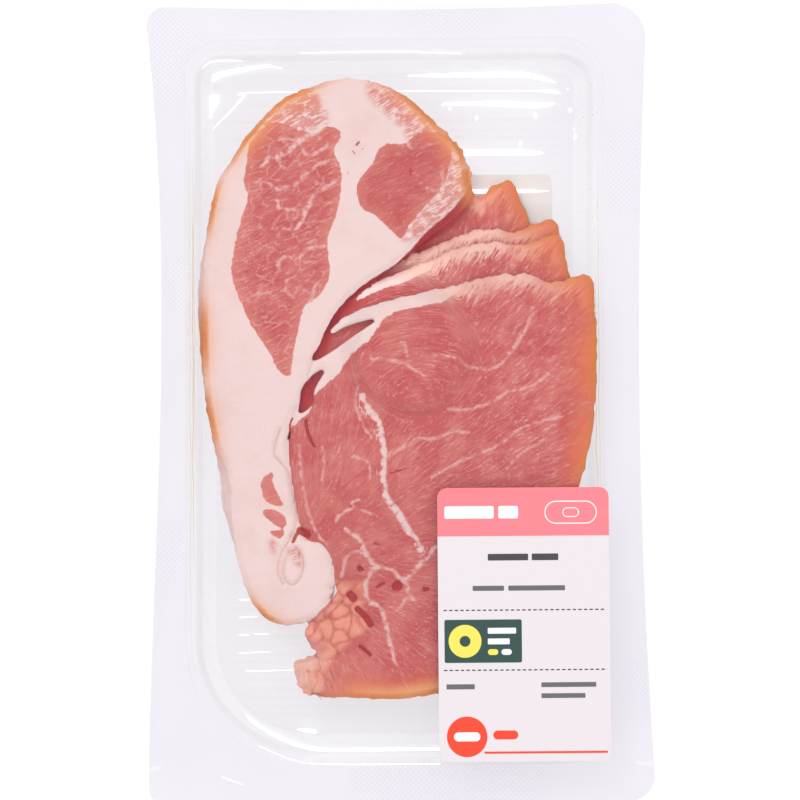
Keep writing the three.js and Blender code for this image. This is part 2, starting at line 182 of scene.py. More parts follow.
@dataclass(frozen=True)
class RoundedOutline:
    """A rectangle with round corners, whose sides may bow inwards at a waist.

    Radii are for the lower right, upper right, upper left and lower left corner. Bows and waists
    are for the right, top, left and bottom side, each met in turn going anticlockwise.
    """

    left: float
    right: float
    bottom: float
    top: float
    radii: tuple[float, float, float, float]
    bows: tuple[float, float, float, float] = (0.0, 0.0, 0.0, 0.0)
    waists: tuple[float, float, float, float] = (0.5, 0.5, 0.5, 0.5)
    corner_steps: int = 14
    side_steps: int = 26
    least_radius: float = 1.0

    def ring(self, shares: np.ndarray, inset: float = 0.0) -> np.ndarray:
        """Points on the outline at an inset, anticlockwise from the lower right corner.

        Args:
            shares: For each point the number of its section plus the share of the way along it. The
                sections 0, 2, 4 and 6 are the corners, and 1, 3, 5 and 7 the sides that follow them.
            inset: How far inside the outline they lie.

        Returns:
            One row, x and y, for each point.
        """
        section = np.minimum(np.floor(shares), 7).astype(int)
        along = (shares - section)[:, None]
        centres, radii = self.corner_centres(inset)
        found = np.zeros((len(shares), 2))
        for index in range(4):
            turn = (index - 1 + along) * math.pi / 2
            arc = centres[index] + radii[index] * np.hstack([np.cos(turn), np.sin(turn)])
            after = (index + 1) % 4
            spoke = np.array([math.cos(index * math.pi / 2), math.sin(index * math.pi / 2)])
            start = centres[index] + radii[index] * spoke
            end = centres[after] + radii[after] * spoke
            side = start + (end - start) * along - spoke * self.bow_depth(index, along)
            found = np.where((section == 2 * index)[:, None], arc, found)
            found = np.where((section == 2 * index + 1)[:, None], side, found)
        return found

    def corner_centres(self, inset: float) -> tuple[np.ndarray, np.ndarray]:
        """The centres and the radii of the four corners at an inset."""
        full = np.array(self.radii)
        radii = np.maximum(full - inset, self.least_radius)
        reach = (radii + inset)[:, None]
        across = (self.right, self.right, self.left, self.left)
        corners = np.column_stack([across, (self.bottom, self.top, self.top, self.bottom)])
        inwards = np.array([(-1, 1), (-1, -1), (1, -1), (1, 1)])
        return corners + inwards * reach, radii

    def bow_depth(self, side: int, along: np.ndarray) -> np.ndarray:
        """How far a bowed side lies inwards at each share of its length, deepest at its waist."""
        waist = self.waists[side]
        fall = (1 - waist) / waist
        return self.bows[side] * along * (1 - along) ** fall / (waist * (1 - waist) ** fall)

    def loop(self, inset: float = 0.0) -> np.ndarray:
        """The whole outline as one loop of points, at an inset."""
        corner = np.arange(self.corner_steps) / self.corner_steps
        side = np.arange(self.side_steps) / self.side_steps
        shares = [index + (side if index % 2 else corner) for index in range(8)]
        return self.ring(np.concatenate(shares), inset)

    def flank(self, right: bool, inset: float = 0.0) -> tuple[np.ndarray, np.ndarray]:
        """The shares and points of the right or left half of the outline, from its foot up."""
        shares = np.linspace(0.0, 3.0, 601) if right else np.linspace(7.0, 4.0, 601)
        points = self.ring(np.clip(shares, 0.0, 7.0 - TINY), inset)
        return shares, points

    def span(self, inset: float, y: np.ndarray) -> tuple[np.ndarray, np.ndarray]:
        """The outline's left and right x at each height y, at an inset."""
        _, left = self.flank(False, inset)
        _, right = self.flank(True, inset)
        return np.interp(y, left[:, 1], left[:, 0]), np.interp(y, right[:, 1], right[:, 0])

    def ends(self, inset: float) -> tuple[float, float]:
        """The lowest and highest y at an inset."""
        loop = self.loop(inset)
        return float(loop[:, 1].min()), float(loop[:, 1].max())


# Modelling with operators


def start_clean() -> None:
    """Leaves edit mode and deselects everything."""
    if bpy.context.object and bpy.context.object.mode != "OBJECT":
        bpy.ops.object.mode_set(mode="OBJECT")
    bpy.ops.object.select_all(action="DESELECT")


def only(piece: bpy.types.Object) -> bpy.types.Object:
    """Makes one piece the only selected and active one."""
    start_clean()
    piece.select_set(True)
    bpy.context.view_layer.objects.active = piece
    return piece


def added(name: str) -> bpy.types.Object:
    """Names the primitive that was just added, and its mesh."""
    piece = bpy.context.object
    piece.name = name
    piece.data.name = name
    return piece


def read_points(piece: bpy.types.Object) -> np.ndarray:
    """The piece's vertices in millimetres, one row each."""
    flat = np.empty(len(piece.data.vertices) * 3, np.float32)
    piece.data.vertices.foreach_get("co", flat)
    return flat.reshape(-1, 3).astype(float) / MM


def write_points(piece: bpy.types.Object, points: np.ndarray) -> None:
    """Moves the piece's vertices to points given in millimetres."""
    piece.data.vertices.foreach_set("co", (points * MM).astype(np.float32).ravel())
    piece.data.update()


def read_normals(piece: bpy.types.Object) -> np.ndarray:
    """The piece's vertex normals, one row each."""
    flat = np.empty(len(piece.data.vertices) * 3, np.float32)
    piece.data.vertex_normals.foreach_get("vector", flat)
    return flat.reshape(-1, 3).astype(float)


def write_attribute(piece: bpy.types.Object, name: str, values: np.ndarray) -> None:
    """Stores one number or one vector for each vertex under a name that a finish reads."""
    kind, key = ("FLOAT_VECTOR", "vector") if values.ndim == 2 else ("FLOAT", "value")
    layer = piece.data.attributes.new(name, kind, "POINT")
    layer.data.foreach_set(key, values.astype(np.float32).ravel())


def apply_modifier(piece: bpy.types.Object, kind: str, **settings: object) -> None:
    """Adds a modifier to a piece, sets it and applies it.

    Args:
        piece: The piece.
        kind: The modifier's type.
        **settings: Its properties and their values.
    """
    only(piece)
    bpy.ops.object.modifier_add(type=kind)
    modifier = piece.modifiers[-1]
    for name, value in settings.items():
        setattr(modifier, name, value)
    bpy.ops.object.modifier_apply(modifier=modifier.name)


def edit(piece: bpy.types.Object, *steps: Callable[[], object]) -> None:
    """Runs operators on all of a piece's mesh in edit mode, one after the other."""
    only(piece)
    bpy.ops.object.mode_set(mode="EDIT")
    bpy.ops.mesh.select_all(action="SELECT")
    for step in steps:
        step()
    bpy.ops.object.mode_set(mode="OBJECT")


def face_up(piece: bpy.types.Object) -> None:
    """Turns the normals of an open sheet so that its broad faces look up."""
    edit(piece, lambda: bpy.ops.mesh.normals_make_consistent(inside=False))
    lift = sum(polygon.normal.z * polygon.area for polygon in piece.data.polygons)
    if lift < 0:
        edit(piece, bpy.ops.mesh.flip_normals)


def smooth(piece: bpy.types.Object, degrees: float = 40.0) -> None:
    """Shades a piece smooth except over edges sharper than an angle."""
    only(piece)
    bpy.ops.object.shade_smooth_by_angle(angle=math.radians(degrees))


def extruded_loops(name: str, loops: Sequence[np.ndarray]) -> bpy.types.Object:
    """Extrudes a circle of edges through one loop of points after another.

    Args:
        name: The piece's name.
        loops: Loops of equal length, each row x, y and z in millimetres.

    Returns:
        The open band, with its first and last edge free.
    """
    start_clean()
    count = len(loops[0])
    bpy.ops.mesh.primitive_circle_add(vertices=count, radius=1.0, fill_type="NOTHING")
    piece = added(name)
    write_points(piece, loops[0])
    order = np.arange(count)
    for loop in loops[1:]:
        extrude_last_loop(piece, order)
        points = read_points(piece)
        fresh = np.arange(len(points) - count, len(points))
        places = {tuple(np.round(points[index], 4)): index for index in fresh}
        order = np.array([places[tuple(np.round(points[index], 4))] for index in order])
        points[order] = loop
        write_points(piece, points)
    return piece


def extrude_last_loop(piece: bpy.types.Object, order: np.ndarray) -> None:
    """Extrudes the edges between the vertices in order, in place."""
    only(piece)
    flags = np.zeros(len(piece.data.vertices), bool)
    flags[order] = True
    bpy.ops.object.mode_set(mode="EDIT")
    bpy.ops.mesh.select_mode(type="VERT")
    bpy.ops.mesh.select_all(action="DESELECT")
    bpy.ops.object.mode_set(mode="OBJECT")
    piece.data.vertices.foreach_set("select", flags)
    ends = np.array([edge.vertices[:] for edge in piece.data.edges])
    piece.data.edges.foreach_set("select", flags[ends].all(axis=1))
    bpy.ops.object.mode_set(mode="EDIT")
    bpy.ops.mesh.extrude_edges_move()
    bpy.ops.object.mode_set(mode="OBJECT")


def mapped_grid(
    name: str, columns: int, rows: int, place: Callable[[np.ndarray, np.ndarray], np.ndarray]
) -> bpy.types.Object:
    """Makes a grid of faces and lays it out by a function of its two shares.

    Args:
        name: The piece's name.
        columns: Faces along the first share.
        rows: Faces along the second share.
        place: Gives the points in millimetres for both shares from 0 to 1.

    Returns:
        The open sheet, facing up.
    """
    start_clean()
    bpy.ops.mesh.primitive_grid_add(x_subdivisions=columns, y_subdivisions=rows, size=2.0)
    piece = added(name)
    flat = read_points(piece) * MM
    write_points(piece, place((flat[:, 0] + 1) / 2, (flat[:, 1] + 1) / 2))
    face_up(piece)
    return piece


def sheet_in_outline(
    name: str,
    outline: RoundedOutline,
    inset: float,
    cells: tuple[int, int],
    height: Callable[[np.ndarray, np.ndarray], np.ndarray],
    gathered: bool = True,
) -> bpy.types.Object:
    """Lays a sheet inside a rounded outline, on a height that depends on x and y.

    Args:
        name: The piece's name.
        outline: The outline that bounds it.
        inset: How far inside the outline it ends.
        cells: Faces across and along.
        height: Gives z for x and y, all in millimetres.
        gathered: Whether rows lie closer at both ends, where the corners are.

    Returns:
        The open sheet.
    """
    low, high = outline.ends(inset)

    def place(across: np.ndarray, along: np.ndarray) -> np.ndarray:
        """Spreads the two shares over the outline."""
        share = (1 - np.cos(math.pi * along)) / 2 if gathered else along
        y = low + (high - low) * share
        left, right = outline.span(inset, y)
        x = left + (right - left) * across
        return np.stack([x, y, height(x, y)], axis=1)

    return mapped_grid(name, cells[0], cells[1], place)


def thread(name: str, line: np.ndarray, flatness: float = 1.0, sides: int = 8) -> bpy.types.Object:
    """Wraps a closed tube round a line.

    Args:
        name: The piece's name.
        line: Rows of x, y, z and half a width, in millimetres.
        flatness: How high the tube is for its width.
        sides: Faces round it.

    Returns:
        The tube.
    """
    ahead = np.gradient(line[:, :2], axis=0)
    aside = np.column_stack([ahead[:, 1], -ahead[:, 0]]) / np.linalg.norm(ahead, axis=1)[:, None]
    last = len(line) - 1

    def place(along: np.ndarray, around: np.ndarray) -> np.ndarray:
        """Wraps the grid round the line."""
        row = np.round(along * last).astype(int)
        angle = 2 * math.pi * around
        reach = line[row, 3]
        plan = line[row, :2] + aside[row] * (reach * np.cos(angle))[:, None]
        return np.column_stack([plan, line[row, 2] + flatness * reach * np.sin(angle)])

    piece = mapped_grid(name, last, sides, place)
    edit(
        piece,
        lambda: bpy.ops.mesh.remove_doubles(threshold=1e-6),
        lambda: bpy.ops.mesh.select_all(action="DESELECT"),
        lambda: bpy.ops.mesh.select_non_manifold(),
        lambda: bpy.ops.mesh.fill_holes(sides=0),
        lambda: bpy.ops.mesh.select_all(action="SELECT"),
        lambda: bpy.ops.mesh.normals_make_consistent(inside=False),
    )
    smooth(piece, 60.0)
    return piece


def join(pieces: Sequence[bpy.types.Object]) -> bpy.types.Object:
    """Joins pieces into the first one and returns it."""
    only(pieces[0])
    for piece in pieces:
        piece.select_set(True)
    bpy.ops.object.join()
    return pieces[0]


def hand_over(piece: bpy.types.Object, finish: bpy.types.Material, slot: str, *nodes: str) -> None:
    """Gives a finished piece its material and body, and hides the solids' nodes that it stands for.

    Args:
        piece: The piece.
        finish: Its material.
        slot: The material slot of the record. Not used.
        *nodes: The nodes of the solids that it replaces.
    """
    piece.data.materials.clear()
    piece.data.materials.append(finish)
    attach(piece, BODY)
    if nodes:
        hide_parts(*nodes)
    LOG.info("%s: %d faces", piece.name, len(piece.data.polygons))


# Materials


class Field:
    """A value in a material's nodes, with arithmetic that adds the Math nodes."""

    def __init__(self, canvas: "Canvas", socket: bpy.types.NodeSocket) -> None:
        """Wraps a socket of a canvas."""
        self.canvas = canvas
        self.socket = socket

    def __add__(self, other: "Value") -> "Field":
        """Sum."""
        return self.canvas.math("ADD", self, other)

    def __sub__(self, other: "Value") -> "Field":
        """Difference."""
        return self.canvas.math("SUBTRACT", self, other)

    def __rsub__(self, other: "Value") -> "Field":
        """Difference from a number."""
        return self.canvas.math("SUBTRACT", other, self)

    def __mul__(self, other: "Value") -> "Field":
        """Product."""
        return self.canvas.math("MULTIPLY", self, other)

    def __abs__(self) -> "Field":
        """Size without its sign."""
        return self.canvas.math("ABSOLUTE", self)

    def __pow__(self, power: float) -> "Field":
        """Power."""
        return self.canvas.math("POWER", self, power)

    __radd__ = __add__
    __rmul__ = __mul__

    def least(self, other: "Value") -> "Field":
        """The smaller of two values."""
        return self.canvas.math("MINIMUM", self, other)

    def most(self, other: "Value") -> "Field":
        """The larger of two values."""
        return self.canvas.math("MAXIMUM", self, other)

    def rise(self, low: float, high: float) -> "Field":
        """A smooth rise from 0 at low to 1 at high."""
        node = self.canvas.node(
            "ShaderNodeMapRange",
            {"interpolation_type": "SMOOTHSTEP"},
            {0: self, 1: low, 2: high, 3: 0.0, 4: 1.0},
        )
        return Field(self.canvas, node.outputs[0])

    def fall(self, low: float, high: float) -> "Field":
        """A smooth fall from 1 at low to 0 at high."""
        return 1.0 - self.rise(low, high)


Value = Field | float


class Canvas:
    """The nodes of one material, which ends in one Principled shader."""

    def __init__(self, name: str) -> None:
        """Makes an empty material of a name."""
        self.material = bpy.data.materials.new(name)
        self.material.use_nodes = True
        self.tree = self.material.node_tree
        self.tree.nodes.clear()
        self.shader = self.node("ShaderNodeBsdfPrincipled")
        output = self.node("ShaderNodeOutputMaterial")
        self.tree.links.new(self.shader.outputs[0], output.inputs[0])

    def node(
        self, kind: str, settings: dict[str, object] | None = None, inputs: dict | None = None
    ) -> bpy.types.Node:
        """Adds a node.

        Args:
            kind: Its type.
            settings: Its own properties, set first.
            inputs: Values or fields for its sockets, by name or number.

        Returns:
            The node.
        """
        made = self.tree.nodes.new(kind)
        for name, value in (settings or {}).items():
            setattr(made, name, value)
        for key, value in (inputs or {}).items():
            if isinstance(value, Field):
                self.tree.links.new(value.socket, made.inputs[key])
            else:
                made.inputs[key].default_value = value
        return made

    def math(self, operation: str, *values: Value) -> Field:
        """Adds a Math node on values."""
        made = self.node("ShaderNodeMath", {"operation": operation}, dict(enumerate(values)))
        return Field(self, made.outputs[0])

    def constants(self, **values: object) -> None:
        """Sets the shader's own sockets, by names with _ for a space."""
        for name, value in values.items():
            self.shader.inputs[name.replace("_", " ")].default_value = value

    def feed(self, name: str, value: Field) -> None:
        """Links a field to one of the shader's sockets."""
        self.tree.links.new(value.socket, self.shader.inputs[name])

    def place(self) -> Field:
        """The point on the piece, in metres."""
        return Field(self, self.node("ShaderNodeTexCoord").outputs["Object"])

    def stored(self, name: str) -> Field:
        """A number that the piece stores for each vertex."""
        return Field(self, self.node("ShaderNodeAttribute", {"attribute_name": name}).outputs["Fac"])

    def stored_vector(self, name: str) -> Field:
        """A vector that the piece stores for each vertex."""
        made = self.node("ShaderNodeAttribute", {"attribute_name": name})
        return Field(self, made.outputs["Vector"])

    def axes(self, vector: Field) -> tuple[Field, Field, Field]:
        """The three parts of a vector."""
        parts = self.node("ShaderNodeSeparateXYZ", None, {0: vector}).outputs
        return Field(self, parts[0]), Field(self, parts[1]), Field(self, parts[2])

    def turned(
        self, vector: Field, degrees: float = 0.0, scale: tuple[float, float, float] = (1.0, 1.0, 1.0)
    ) -> Field:
        """A vector turned about Z and then stretched along each axis."""
        turn = self.node(
            "ShaderNodeMapping", None, {"Vector": vector, "Rotation": (0.0, 0.0, math.radians(degrees))}
        )
        stretch = self.node(
            "ShaderNodeMapping", None, {"Vector": Field(self, turn.outputs[0]), "Scale": scale}
        )
        return Field(self, stretch.outputs[0])

    def clouds(
        self, vector: Field, scale: float, detail: float = 2.0, roughness: float = 0.5, warp: float = 0.0
    ) -> Field:
        """Random values between 0 and 1, smooth at a scale."""
        made = self.node(
            "ShaderNodeTexNoise",
            {"noise_dimensions": "3D"},
            {"Vector": vector, "Scale": scale, "Detail": detail, "Roughness": roughness, "Distortion": warp},
        )
        return Field(self, made.outputs[0])

    def cell_walls(self, vector: Field, scale: float, randomness: float = 1.0) -> Field:
        """The distance to the nearest wall between random cells."""
        made = self.node(
            "ShaderNodeTexVoronoi",
            {"feature": "DISTANCE_TO_EDGE"},
            {"Vector": vector, "Scale": scale, "Randomness": randomness},
        )
        return Field(self, made.outputs["Distance"])

    def mix(self, share: Value, first: "Field | Colour", second: "Field | Colour") -> Field:
        """One colour turned into another by a share."""
        colours = [c if isinstance(c, Field) else (*c, 1.0) for c in (first, second)]
        made = self.node(
            "ShaderNodeMix", {"data_type": "RGBA"}, {0: share, 6: colours[0], 7: colours[1]}
        )
        return Field(self, made.outputs[2])

    def bump(self, height: Field, strength: float, distance: float) -> None:
        """Feeds a height to the shader's normal."""
        made = self.node(
            "ShaderNodeBump", None, {"Strength": strength, "Distance": distance, "Height": height}
        )
        self.feed("Normal", Field(self, made.outputs[0]))


@dataclass(frozen=True)
class ClearPlastic:
    """Clear sheet plastic: how cloudy it is, with the tray's painted shade, and its knurled seal, are stored
    on the pieces.
    """

    name: str
    tint: Colour
    roughness: float
    knurl_pitch: float = 1.15
    knurl_veil: float = 0.03

    def material(self) -> bpy.types.Material:
        """Builds the finish and returns its material."""
        canvas = Canvas(self.name)
        canvas.constants(
            Base_Color=(*self.tint, 1.0), Roughness=self.roughness, IOR=1.5, Specular_IOR_Level=0.9
        )
        x, y, _ = canvas.axes(canvas.turned(canvas.place(), 45.0))
        waves = [canvas.math("SINE", axis * (2 * math.pi / (self.knurl_pitch * MM))) for axis in (x, y)]
        knurl = waves[0].most(waves[1]).rise(0.2, 0.95) * canvas.stored("knurl")
        canvas.bump(knurl, 0.15, 0.0002)
        alpha = canvas.stored("veil") + knurl * self.knurl_veil
        canvas.feed("Alpha", alpha.most(0.0).least(1.0))
        return canvas.material


@dataclass(frozen=True)
class Mark:
    """One rounded field of colour on a label, by its corners from the label's upper left, in mm."""

    left: float
    top: float
    right: float
    bottom: float
    colour: Colour
    radius: float = 0.25
    ring: float = 0.0


@dataclass(frozen=True)
class PrintedPaper:
    """A printed label: a ground colour, rounded marks on it and dotted rules across it."""

    name: str
    origin: Point
    ground: Colour
    marks: tuple[Mark, ...] = ()
    rules: tuple[float, ...] = ()
    rule_span: Point = (1.6, 52.4)
    rule_colour: Colour = (0.05, 0.05, 0.055)
    rule_pitch: float = 1.75
    rule_width: float = 0.42
    edge_softness: float = 0.06
    # How much the label glows: painted light for a label that lies in shade
    glow: float = 0.0

    def material(self) -> bpy.types.Material:
        """Builds the finish and returns its material."""
        canvas = Canvas(self.name)
        canvas.constants(Roughness=0.34, IOR=1.45, Coat_Roughness=0.15, Coat_Weight=0.15)
        canvas.constants(Emission_Color=(*self.ground, 1.0), Emission_Strength=self.glow)
        canvas.material.cycles.emission_sampling = "NONE"
        place = canvas.place()
        x, y, _ = canvas.axes(place)
        u = x * (1 / MM) - self.origin[0]
        v = self.origin[1] - y * (1 / MM)
        fibres = canvas.clouds(place, 900.0, 2.0)
        colour = canvas.mix(fibres * 0.12, self.ground, tuple(c * 0.86 for c in self.ground))
        for mark in self.marks:
            colour = canvas.mix(self.mark_share(u, v, mark), colour, mark.colour)
        for height in self.rules:
            colour = canvas.mix(self.rule_share(canvas, u, v, height), colour, self.rule_colour)
        canvas.feed("Base Color", colour)
        canvas.bump(canvas.clouds(place, 260.0, 2.0), 0.12, 0.0002)
        return canvas.material

    def mark_share(self, u: Field, v: Field, mark: Mark) -> Field:
        """Where a rounded mark is: 1 on it and 0 off it."""
        half_width, half_height = (mark.right - mark.left) / 2, (mark.bottom - mark.top) / 2
        radius = min(mark.radius, half_width, half_height)
        across = abs(u - (mark.left + half_width)) - (half_width - radius)
        down = abs(v - (mark.top + half_height)) - (half_height - radius)
        outside = (across.most(0.0) ** 2.0 + down.most(0.0) ** 2.0) ** 0.5
        gap = outside + across.most(down).least(0.0) - radius
        if mark.ring:
            gap = abs(gap + mark.ring / 2) - mark.ring / 2
        return gap.fall(-self.edge_softness, self.edge_softness)

    def rule_share(self, canvas: Canvas, u: Field, v: Field, height: float) -> Field:
        """Where a dotted rule across the label is."""
        line = abs(v - height).fall(self.rule_width / 2 - 0.05, self.rule_width / 2 + 0.05)
        wave = canvas.math("SINE", u * (2 * math.pi / self.rule_pitch))
        ends = u.rise(self.rule_span[0], self.rule_span[0] + 0.1)
        ends = ends * u.fall(self.rule_span[1], self.rule_span[1] + 0.1)
        return line * wave.rise(-0.45, -0.25) * ends


@dataclass(frozen=True)
class CuredMeat:
    """Thick-cut bacon: pale fat, lean with fibres and marbling, and a smoked edge."""

    name: str = "cured_meat"
    fat: Colour = (0.76, 0.575, 0.545)
    fat_blush: Colour = (0.73, 0.51, 0.465)
    # The folds' line colour: partly the membrane's own, partly painted shade in the folds
    crease: Colour = (0.64, 0.38, 0.31)
    lean: Colour = (0.50, 0.078, 0.068)
    lean_light: Colour = (0.56, 0.135, 0.112)
    lean_edge: Colour = (0.63, 0.20, 0.145)
    lean_deep: Colour = (0.42, 0.04, 0.034)
    # Dark red: painted shade in the gap and in the pits' slits, and some of the head muscle's own tone
    crevice: Colour = (0.38, 0.014, 0.01)
    marbling: Colour = (0.73, 0.45, 0.41)
    torn: Colour = (0.80, 0.32, 0.215)
    frill: Colour = (0.76, 0.45, 0.37)
    smoked: Colour = (0.60, 0.18, 0.028)
    smoke_glow: Colour = (0.66, 0.15, 0.04)
    tan: Colour = (0.76, 0.375, 0.16)
    # Rust red: painted shade in the lumps' clefts, and the fat's own reddish-brown flecks in its pits
    rust: Colour = (0.50, 0.07, 0.03)

    def material(self) -> bpy.types.Material:
        """Builds the finish and returns its material."""
        canvas = Canvas(self.name)
        canvas.constants(IOR=1.4, Specular_IOR_Level=0.3, Coat_Weight=0.22, Coat_Roughness=0.16)
        grain = canvas.stored_vector("grain")
        on_fat = canvas.stored("lobe").rise(-0.1, 0.1)
        fine = canvas.clouds(grain, 1.3, 2.0)
        broad = canvas.clouds(grain, 0.1, 2.0, 0.55)
        bend = canvas.node(
            "ShaderNodeTexNoise", None, {"Vector": grain, "Scale": 0.42, "Detail": 3.0, "Roughness": 0.62}
        )
        middle = Field(canvas, bend.outputs[0])
        drift = Field(canvas, bend.outputs[1])
        strand = canvas.clouds(
            canvas.turned(canvas.stored_vector("fibre"), 0.0, (2.5, 0.27, 1.0)), 1.0, 3.0, 0.65, 0.25
        )

        lean = canvas.mix(broad.rise(0.35, 0.65), self.lean, self.lean_light)
        lean = canvas.mix(strand.fall(0.3, 0.5) * 0.6, lean, self.lean_deep)
        beside = canvas.stored("lean_fat").fall(0.2, 5.0) * on_fat
        lean = canvas.mix(beside * 0.5, lean, self.lean_edge)
        lean = canvas.mix(self.network(canvas, grain, drift, middle) * 0.37, lean, self.marbling)
        # Pale strokes along the fibres, and small pale specks that are partly fat flecks, partly painted
        # glints
        pale = (strand.rise(0.54, 0.7) * (fine * 1.1 - 0.1)).most(fine.rise(0.61, 0.7) * 0.4)
        lean = canvas.mix(pale, lean, self.marbling)
        # Painted shade on the lower slices' lean in the gap; on the top slice, the head muscle's own darker
        # tone
        lean = canvas.mix(canvas.stored("gap_shade_and_head_tone"), lean, self.crevice)
        # Painted shade: rust red towards the clefts between the torn lumps
        lumps = canvas.mix(canvas.stored("cleft") * 0.65 + (fine - 0.5) * 0.9, self.torn, self.rust)
        lean = canvas.mix(canvas.stored("lump") * 0.85, lean, lumps)
        width = canvas.stored("vein_width")
        seam = canvas.mix(width.rise(0.3, 0.75), self.marbling, self.fat)
        lean = canvas.mix(self.veins(canvas, drift, fine, middle, width), lean, seam)

        ragged = (middle - 0.5) * 1.7 + (fine - 0.5) * 0.5
        in_fat = (canvas.stored("lean_fat") + ragged).rise(-0.12, 0.16)
        flame = strand * 0.6 + middle * 0.4
        in_fat = in_fat.most(canvas.stored("frost") * flame.rise(0.43, 0.53) * 0.85)
        in_loin = (canvas.stored("lean_loin") + ragged * 1.3).rise(-0.2, 0.3)
        flesh = in_loin + (in_fat - in_loin) * on_fat
        fat = canvas.mix(broad.rise(0.46, 0.74) * 0.65, self.fat, self.fat_blush)
        fold = self.fold_gap(canvas)
        # Along the folds the pink blush and the darker crease colour are partly the membrane's own, partly
        # painted shade
        fat = canvas.mix(fold.fall(0.1, 1.4) * 0.3, fat, self.fat_blush)
        fat = canvas.mix(fold.fall(0.05, 0.42) * middle.rise(0.3, 0.5) * 0.75, fat, self.crease)
        colour = self.edged(canvas, canvas.mix(flesh, fat, lean), flesh, on_fat, fine, strand)
        # Dark red in the pits: partly the meat's own colour, partly painted shade in the slits
        pit = (canvas.stored("pit") + (fine - 0.5) * 0.5).fall(-0.12, 0.2)
        inner = canvas.mix(on_fat * 0.35, self.crevice, self.rust)
        colour = canvas.mix(pit * 0.95, colour, inner)
        canvas.feed("Base Color", colour)
        # Painted light: the fat, and less the lean, glow in the gap under the top slice to lift them out of
        # its shade
        canvas.feed("Emission Color", colour)
        canvas.feed("Emission Strength", canvas.stored("painted_gap_light") * (1 - flesh * 0.5))
        canvas.material.cycles.emission_sampling = "NONE"

        canvas.feed("Roughness", 0.42 + (fine - 0.5) * 0.3 - flesh * 0.08)
        canvas.bump(strand + canvas.clouds(grain, 2.2, 2.0, 0.6) * 0.7, 0.6, 0.00035)
        return canvas.material

    def network(self, canvas: Canvas, grain: Field, drift: Field, middle: Field) -> Field:
        """The thin pale walls between bundles of fibres in the fat lobe's muscles."""
        bent = canvas.node(
            "ShaderNodeVectorMath", {"operation": "MULTIPLY_ADD"}, {0: drift, 1: (2.4, 2.4, 0.0), 2: grain}
        )
        cells = canvas.turned(Field(canvas, bent.outputs[0]), -30.0, (0.17, 0.37, 1.0))
        walls = canvas.cell_walls(cells, 1.0).fall(0.0, 0.085)
        return walls * middle.rise(0.4, 0.58) * canvas.stored("net")

    def fold_gap(self, canvas: Canvas) -> Field:
        """The distance to the nearest fold line of the rolled end."""
        across, along, gap = canvas.axes(canvas.stored_vector("fold"))
        return ((across * across + along * along) ** 0.5).most(gap - 0.6)

    def veins(self, canvas: Canvas, drift: Field, fine: Field, middle: Field, width: Field) -> Field:
        """The seams of fat, which wander a little from the stored way to the nearest one."""
        across, along, gap = canvas.axes(canvas.stored_vector("vein"))
        aside, ahead, _ = canvas.axes(drift)
        across = across + (aside - 0.5) * 1.9
        along = along + (ahead - 0.5) * 1.9
        distance = ((across * across + along * along) ** 0.5).most(gap - 1.1)
        edge = distance - width * (middle.rise(0.3, 0.62) + 0.25) + (fine - 0.5) * 0.5
        strength = (0.05 + width * 0.7 + middle.rise(0.38, 0.6) * 0.42).least(0.84)
        return edge.fall(-0.35, 0.65) * strength

    def edged(
        self, canvas: Canvas, colour: Field, flesh: Field, on_fat: Field, fine: Field, strand: Field
    ) -> Field:
        """The smoked edge and the pale frills laid over a colour.

        Args:
            canvas: The material's nodes.
            colour: What they lie on.
            flesh: 1 on lean and 0 on fat.
            on_fat: 1 on the fat lobe and 0 on the loin.
            fine: A fine random value.
            strand: A random value drawn out along the fibres.
        """
        rim = canvas.stored("rim") + (fine - 0.5) * 1.3
        smoke = canvas.stored("smoke")
        frill = canvas.stored("pale") * (rim - (strand - 0.5) * 16.0).fall(1.2, 6.5)
        colour = canvas.mix(frill * 0.9, colour, self.frill)
        depth = 11.5 - on_fat * 2.5
        glow = rim.fall(0.4, depth) * smoke * (0.15 + flesh * 0.78)
        colour = canvas.mix(glow, colour, self.smoke_glow)
        colour = canvas.mix(rim.fall(1.5, 5.5) * canvas.stored("toast") * 0.75, colour, self.tan)
        colour = canvas.mix(rim.fall(1.0, 4.6) * smoke * on_fat * 0.6, colour, self.tan)
        return canvas.mix(rim.fall(0.5, 1.9) * smoke * 0.95, colour, self.smoked)


@dataclass(frozen=True)
class PlainFinish:
    """A finish of one colour, which may glow a little: painted light on glints, droplets and juice, and the
    evenly bright floor.
    """

    name: str
    colour: Colour
    roughness: float
    alpha: float = 1.0
    glow: float = 0.0

    def material(self) -> bpy.types.Material:
        """Builds the finish and returns its material."""
        canvas = Canvas(self.name)
        colour = (*self.colour, 1.0)
        canvas.constants(Base_Color=colour, Roughness=self.roughness, IOR=1.4, Alpha=self.alpha)
        canvas.constants(Emission_Color=colour, Emission_Strength=self.glow)
        canvas.material.cycles.emission_sampling = "NONE"
        return canvas.material


# The pack


FLANGE = RoundedOutline(
    -78.6, 78.6, -125.0, 125.0, (8.0, 11.0, 6.0, 5.0), (3.3, 1.5, 4.4, 0.0), (0.5, 0.5, 0.37, 0.5)
)
MOUTH = RoundedOutline(-66.6, 64.9, -112.5, 114.0, (13.0, 13.0, 11.0, 38.0), (1.1, 0.0, 0.4, 0.0))


def film_height(x: np.ndarray, y: np.ndarray) -> np.ndarray:
    """How far the lid film stands above the flange at x and y, in millimetres."""
    across = 1 - ((x - (MOUTH.left + MOUTH.right) / 2) / ((MOUTH.right - MOUTH.left) / 2)) ** 2
    along = 1 - ((y - (MOUTH.bottom + MOUTH.top) / 2) / ((MOUTH.top - MOUTH.bottom) / 2)) ** 2
    return FILM_RISE * np.sqrt(np.clip(across, 0, 1) * np.clip(along, 0, 1))


